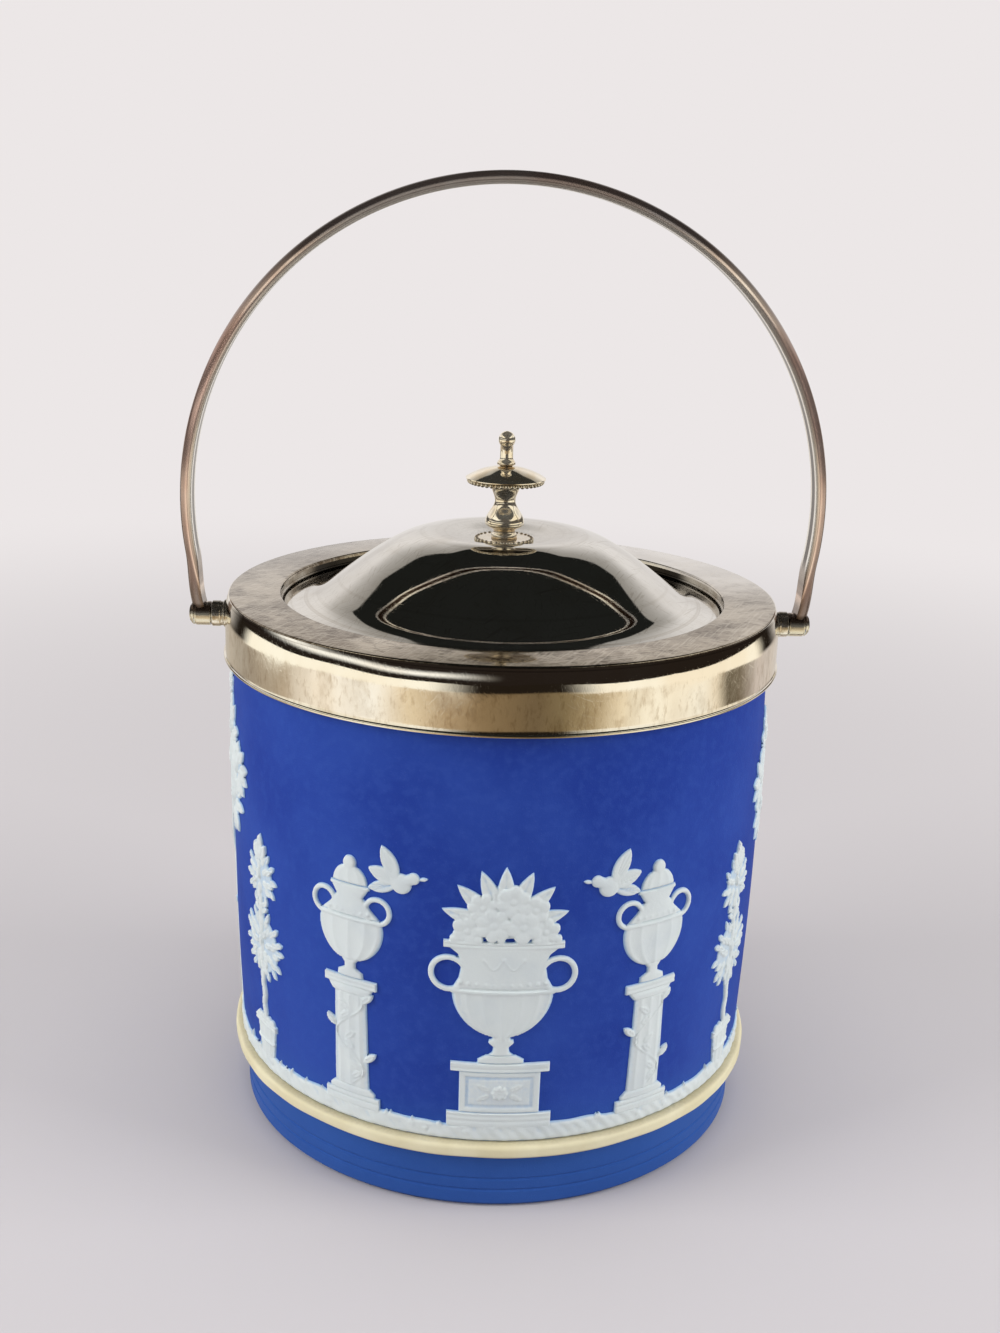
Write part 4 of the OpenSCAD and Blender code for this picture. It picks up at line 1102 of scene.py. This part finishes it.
def lid_line(step=0.3, blur=0.9):
    """The lid's upper line from its edge inwards, as (radius, height, slope). Its slope
    changes gently, so that what it mirrors has no kinks."""
    r = np.arange(DISH_R, LID_R + step, step)
    knots = [CROWN_R, BROW_R, SHOULDER_R, FLARE_R, RIM_R, LID_R]
    turns = [0.0, BROW_SLOPE, SIDE_SLOPE, SIDE_SLOPE, EDGE_SLOPE, EDGE_SLOPE]
    slope = np.arcsin(np.interp(r, knots, np.sin(np.radians(turns))))
    wide = CROWN_R - DISH_R
    dish = -np.arctan(DISH_D * math.pi / 2 / wide * np.sin(np.pi * (CROWN_R - r) / wide))
    slope = np.where(r < CROWN_R, dish, slope)
    reach = np.arange(-9, 10) * step
    bell = np.exp(-0.5 * (reach / blur) ** 2)
    slope = np.convolve(np.pad(slope, 9, "edge"), bell / bell.sum(), "valid")
    fall = np.concatenate([[0.0], np.cumsum(np.tan((slope[1:] + slope[:-1]) / 2) * step)])
    z = -fall - (-fall).max() + CREST_Z
    return [(a, b, math.degrees(c)) for a, b, c in zip(r[::-1], z[::-1], slope[::-1])]


def make_lid(finish):
    """The spun lid, rolled over a little at its edge."""
    line = lid_line()
    crown_z, low = line[-1][1], LID_EDGE_Z - LID_T
    under = []
    for r, z, slope in reversed(line):
        a = math.radians(slope)
        under.append((r - LID_T * math.sin(a), z - LID_T * math.cos(a)))
    under = [p for p in under if p[0] < LID_R - LID_ROLL and p[1] > low]
    hole = [(STUD_HOLE_R, crown_z), (STUD_HOLE_R, crown_z - LID_T)]
    edge = arc(LID_R - 0.5, low + 0.5, 0.5, -90, 60, 8)
    whole = [(r, z) for r, z, _ in line[1:]] + hole + under + [(LID_R - LID_ROLL, low)] + edge
    obj = turned_piece("spun_lid", whole, steps=320)
    place(obj, "lid", finish, "silver_plate", "lid_dome")


def pearl_tree():
    """A tree that sets a ring of pearls on a turned piece."""
    tree = bpy.data.node_groups.new("ring_of_pearls", "GeometryNodeTree")
    face = tree.interface
    face.new_socket("Turned metal", in_out="INPUT", socket_type="NodeSocketGeometry")
    for name in ("Ring radius", "Height", "Pearl radius"):
        face.new_socket(name, in_out="INPUT", socket_type="NodeSocketFloat")
    face.new_socket("Pearls", in_out="INPUT", socket_type="NodeSocketInt")
    face.new_socket("Finish", in_out="INPUT", socket_type="NodeSocketMaterial")
    face.new_socket("Beaded metal", in_out="OUTPUT", socket_type="NodeSocketGeometry")
    given = tree.nodes.new("NodeGroupInput")
    result = tree.nodes.new("NodeGroupOutput")

    def add(kind, **sockets):
        """A node, with a link or a value for each input, named in words."""
        made = tree.nodes.new(kind)
        for key, value in sockets.items():
            if isinstance(value, bpy.types.NodeSocket):
                tree.links.new(value, made.inputs[key])
            else:
                made.inputs[key].default_value = value
        return made
    size = given.outputs
    ring = add("GeometryNodeMeshCircle", Vertices=size["Pearls"], Radius=size["Ring radius"])
    lift = add("ShaderNodeCombineXYZ", Z=size["Height"])
    high = add("GeometryNodeSetPosition", Geometry=ring.outputs[0], Offset=lift.outputs[0])
    pearl = add("GeometryNodeMeshIcoSphere", Radius=size["Pearl radius"], Subdivisions=3)
    smooth = add("GeometryNodeSetShadeSmooth", Geometry=pearl.outputs[0])
    set_on = add("GeometryNodeInstanceOnPoints", Points=high.outputs[0], Instance=smooth.outputs[0])
    both = add("GeometryNodeJoinGeometry", Geometry=set_on.outputs[0])
    tree.links.new(size["Turned metal"], both.inputs[0])
    solid = add("GeometryNodeRealizeInstances", Geometry=both.outputs[0])
    finish = add("GeometryNodeSetMaterial", Geometry=solid.outputs[0], Material=size["Finish"])
    tree.links.new(finish.outputs[0], result.inputs[0])
    return tree


def bead(obj, tree, finish, ring_r, height, pearl_r, count):
    """Sets a ring of pearls on a piece and keeps the result as a plain mesh."""
    modifier = obj.modifiers.new("pearls", "NODES")
    modifier.node_group = tree
    values = {"Ring radius": ring_r * MM, "Height": height * MM, "Pearl radius": pearl_r * MM,
              "Pearls": count, "Finish": finish}
    for item in tree.interface.items_tree:
        if item.in_out == "INPUT" and item.name in values:
            modifier[item.identifier] = values[item.name]
    depsgraph = bpy.context.evaluated_depsgraph_get()
    mesh = bpy.data.meshes.new_from_object(obj.evaluated_get(depsgraph))
    obj.modifiers.clear()
    obj.data = mesh


def raised(line, by):
    """A line of (radius, height) points, moved up."""
    return [(r, z + by) for r, z in line]


def make_finial(finish):
    """The finial: beaded foot plate, baluster, beaded disc with a dome, and ball tip."""
    tree = pearl_tree()
    line = soften([(STUD_HOLE_R, 0), (6.5, 0), (6.3, 0.5), (STUD_HOLE_R, 0.5)], 0.15)
    plate = turned_piece("finial_beaded_foot", raised(line, PLATE_Z), steps=120)
    bead(plate, tree, finish, *FOOT_PEARLS)
    place(plate, "lid", finish, "bright_turning", "finial_foot_plate")

    h = STEM_H
    line = [(FINIAL_BORE, 0), (2.9, 0), (3.0, 0.1), (3.0, 0.05 * h)]
    line += wave(3.0, 2.5, 0.05 * h, 0.13 * h, 8) + wave(2.5, 4.5, 0.13 * h, 0.26 * h, 14)
    line += wave(4.5, 2.4, 0.30 * h, 0.68 * h, 22) + wave(2.4, 3.3, 0.68 * h, 0.95 * h, 10)
    line += [(3.3, h), (FINIAL_BORE, h)]
    stem = turned_piece("finial_baluster", raised(line, STEM_Z), steps=120)
    place(stem, "lid", finish, "bright_turning", "finial_stem")

    dome_r = (DISC_R ** 2 + DISC_RISE ** 2) / (2 * DISC_RISE)
    dome_a = math.degrees(math.acos(DISC_R / dome_r))
    top = DISC_EDGE + DISC_RISE
    line = soften([(FINIAL_BORE, 0), (7.8, 0), (7.8, 0.75), (DISC_R - 0.05, 0.75), (DISC_R, 1.0)],
                  0.12, closed=False)
    line += arc(0, top - dome_r, dome_r, dome_a, 90, 24)[:-1]
    line += [(0, top), (0, DISC_HOLLOW), (FINIAL_BORE, DISC_HOLLOW)]
    disc = turned_piece("finial_beaded_disc", raised(line, DISC_Z), steps=144)
    bead(disc, tree, finish, *DISC_PEARLS)
    place(disc, "lid", finish, "bright_turning", "finial_disc")

    h = TIP_H
    line = [(0, 0), (1.5, 0)] + wave(1.5, 2.15, 0, 0.08 * h, 8)
    line += wave(2.15, 1.5, 0.08 * h, 0.32 * h, 12)
    neck_a = -math.degrees(math.acos(1.5 / BALL_R))
    line += arc(0, h, BALL_R, neck_a, 90, 18)[:-1] + [(0, h + BALL_R)]
    tip = turned_piece("finial_ball_tip", raised(line, TIP_Z), closed=False, steps=96)
    place(tip, "lid", finish, "bright_turning", "finial_tip")


def dress_fixing(bedding, bezel, fixing):
    """Finishes for the plain solids that stay as they are."""
    finishes = {"plaster_bedding": bedding, "lid_bezel": bezel, "finial_stud": fixing,
                "finial_washer": fixing, "finial_nut": fixing}
    for name, finish in finishes.items():
        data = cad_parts[name].data
        data.materials.clear()
        data.materials.append(finish)


# ---- Studio ------------------------------------------------------------------------------

PALE, NEAR_FLOOR = (236, 231, 231), (206, 201, 201)
CAMERA_AT = Vector((-15.199, -353.782, 211.142)) * MM
CAMERA_AHEAD = Vector((0.03661, 0.95786, -0.28490)).normalized()
CAMERA_UP = Vector((-0.01873, 0.28570, 0.95814)).normalized()
FLOOR_R = 4.0  # metres


def place_camera():
    """The camera, a little above the lid and in front."""
    data = bpy.data.cameras.new("camera")
    data.sensor_fit, data.sensor_width, data.lens = "AUTO", 36.0, 41.995
    data.shift_x = 0.00525
    data.clip_start = 0.01
    right = CAMERA_AHEAD.cross(CAMERA_UP).normalized()
    turn = Matrix((right, right.cross(CAMERA_AHEAD), -CAMERA_AHEAD)).transposed().to_4x4()
    camera = bpy.data.objects.new("camera", data)
    camera.matrix_world = Matrix.Translation(CAMERA_AT) @ turn
    bpy.context.scene.collection.objects.link(camera)
    bpy.context.scene.camera = camera


def front_angle(x, y):
    """Angle round the jar in turns, 0 at the front and 0.25 on the right."""
    angle = x.math("ARCTAN2", -y)
    return angle * (1 / (2 * math.pi))


def rays(g):
    """1 where the camera looks, straight or through glass, and 1 where metal mirrors."""
    camera, through, glossy = [g.node("ShaderNodeLightPath", out="Is " + kind + " Ray")
                               for kind in ("Camera", "Transmission", "Glossy")]
    return (camera + through).most(1.0), glossy


def lay_floor():
    """A pale floor that fades into the backdrop. Polished metal sees warm panels in it, a
    dark room with bright patches beyond them in front, and pale ground at the back."""
    mesh = bpy.data.meshes.new("studio_floor")
    rim = [(x, y, 0) for x, y in arc(0, 0, FLOOR_R, 0, 360, 96)[:-1]]
    mesh.from_pydata(rim, [], [tuple(range(len(rim)))])
    floor = bpy.data.objects.new("studio_floor", mesh)
    bpy.context.scene.collection.objects.link(floor)
    g = material("studio_floor_paper", *NEAR_FLOOR)
    x, y, _ = g.split(g.stretched())
    r = (x * x + y * y) ** 0.5
    turn = front_angle(x, y)
    side = abs(turn)
    seen, glossy = rays(g)
    plain = g.node("ShaderNodeBsdfDiffuse", None, {"Color": tone(*NEAR_FLOOR)})
    far = g.node("ShaderNodeEmission", None, {"Color": tone(*PALE), "Strength": 1.0})
    shown = g.node("ShaderNodeMixShader", None, {0: r.step(160, 750) * seen, 1: plain, 2: far})
    panels = g.node("ShaderNodeValToRGB", {"stops": [
        (0.00, (215, 208, 200)), (0.10, (190, 180, 165)), (0.18, (160, 148, 132)),
        (0.245, (184, 168, 146)), (0.29, (252, 242, 226)), (0.36, (255, 252, 244)),
        (0.40, (232, 212, 178)), (0.44, (175, 150, 116)), (0.48, (140, 120, 90)),
        (0.53, (110, 94, 70)), (0.56, (128, 112, 82)), (0.59, (170, 150, 114)),
        (0.62, (236, 220, 190)), (0.65, (252, 242, 220)), (0.72, (255, 254, 244)),
        (0.745, (240, 230, 210)), (0.765, (104, 96, 80)), (0.79, (120, 110, 94)),
        (0.83, (205, 194, 186)), (0.89, (212, 204, 196)), (1.00, (215, 208, 200))]},
        {"Fac": turn + 0.5})
    cloth = g.noise(0.011, 4.0, rough=0.6)
    front = 1.0 - side.step(0.36, 0.43)
    patch = (turn.step(0.055, 0.11) + (-turn).step(0.025, 0.085)) * (1.0 - side.step(0.32, 0.35))
    patch = patch * r.step(450, 480) * (1.0 - r.step(1700, 2100))
    room = g.coats(panels,
                   (cloth.step(0.45, 0.75) * 0.25, (120, 100, 76)),
                   (front * r.step(460, 580), (34, 28, 22)),
                   (patch, (255, 248, 230)),
                   ((1.0 - front) * r.step(500, 800), (232, 228, 224)))
    mirrored = g.node("ShaderNodeEmission", None, {"Color": room, "Strength": 1.0})
    whole = g.node("ShaderNodeMixShader", None, {0: glossy, 1: shown, 2: mirrored})
    g.node("ShaderNodeOutputMaterial", None, {"Surface": whole})
    mesh.materials.append(g.owner)


def surround():
    """A pale room. Polished metal sees a dark canopy overhead, a dark room in front and low
    at the sides, two soft windows and a low bright strip on the left. The canopy is drawn on
    a ceiling at height 1, where u runs to the right and v to the back."""
    world = bpy.data.worlds.new("studio_room")
    world.use_nodes = True
    bpy.context.scene.world = world
    g = Graph(world.node_tree)
    direction = g.node("ShaderNodeTexCoord", out="Generated")
    x, y, z = g.split(direction)
    overhead = z.least(0.02)
    u, v = x / overhead, y / overhead
    turn = front_angle(x, y)
    beside = abs(turn)
    far_edge = abs(u).step(0.60, 1.00) * 0.16 + (u - 0.06).near(0.0, 0.34) * 0.75 + 0.98
    side = abs(u - 0.02) + (v - 0.85).least(0.0) * 0.5
    outside = (side - 1.04).least(v - far_edge).least(-1.2 - v)
    canopy = 1.0 - outside.step(-0.02, 0.03)
    grey = g.noise(2.0, 3.0, direction)
    backdrop = g.coats((226, 222, 220), (grey.step(0.3, 0.7), (246, 242, 240)))
    backdrop = g.mix(outside.step(-0.3, 1.5), tone(150, 146, 140), backdrop)
    low = 1.0 - (z + (beside - 0.25) * 1.2).step(0.30, 0.35)
    windows = beside.step(0.06, 0.13) * (1.0 - beside.step(0.27, 0.33))
    windows = windows * z.step(0.36, 0.42) * (1.0 - z.step(0.60, 0.72))
    strip = turn.step(-0.32, -0.27) * (1.0 - turn.step(-0.08, 0.0)) * z.near(0.12, 0.10)
    room = g.mix((-y).step(-0.25, 0.15), backdrop, tone(34, 28, 22))
    room = g.coats(room,
                   (low * (1.0 - beside.step(0.38, 0.43)), (36, 30, 26)),
                   (windows, (255, 250, 236)),
                   (strip, (255, 252, 244)),
                   (canopy, (31, 32, 30)))
    plain, mirrored, soft = [g.node("ShaderNodeBackground", None, {"Color": colour, "Strength": level})
                             for colour, level in ((tone(*PALE), 1.0), (room, 1.0),
                                                   (tone(236, 236, 240), 0.55))]
    seen, glossy = rays(g)
    unseen = g.node("ShaderNodeMixShader", None, {0: glossy, 1: soft, 2: mirrored})
    whole = g.node("ShaderNodeMixShader", None, {0: seen, 1: unseen, 2: plain})
    g.node("ShaderNodeOutputWorld", None, {"Surface": whole})


def hang_lamp(name, at, size, watts, colour=(1.0, 1.0, 1.0)):
    """A soft square lamp that points at the jar. Polished metal doesn't show it."""
    data = bpy.data.lights.new(name, "AREA")
    data.shape, data.size, data.energy, data.color = "SQUARE", size, watts, colour
    lamp = bpy.data.objects.new(name, data)
    lamp.location = at
    lamp.rotation_euler = (Vector((0, 0, 0.08)) - Vector(at)).to_track_quat("-Z", "Y").to_euler()
    lamp.visible_glossy = False
    bpy.context.scene.collection.objects.link(lamp)


def light_studio():
    """Soft light from both sides in front and from above."""
    hang_lamp("left_lamp", (-1.12, -0.34, 0.62), 0.7, 8.6)
    hang_lamp("right_lamp", (1.15, -0.30, 0.58), 0.7, 8.6)
    hang_lamp("top_lamp", (0.0, -0.05, 1.25), 0.9, 4.4)


# ---- The jar -----------------------------------------------------------------------------


def build():
    """Makes the studio and every piece of the jar."""
    scene = bpy.context.scene
    scene.view_settings.view_transform = "Standard"
    place_camera()
    surround()
    lay_floor()
    light_studio()
    make_pot(blue_stoneware())
    make_cream_band(cream_clay())
    make_reliefs(white_clay())
    wall_plate = collar_wall_silver()
    make_collar(wall_plate, collar_plate_silver(), throat_silver())
    bow = bow_metal()
    make_pivots(lug_silver(), bow)
    make_bow(bow)
    make_lid(lid_silver())
    make_finial(turned_silver())
    dress_fixing(plaster(), throat_silver(), brass())


build()
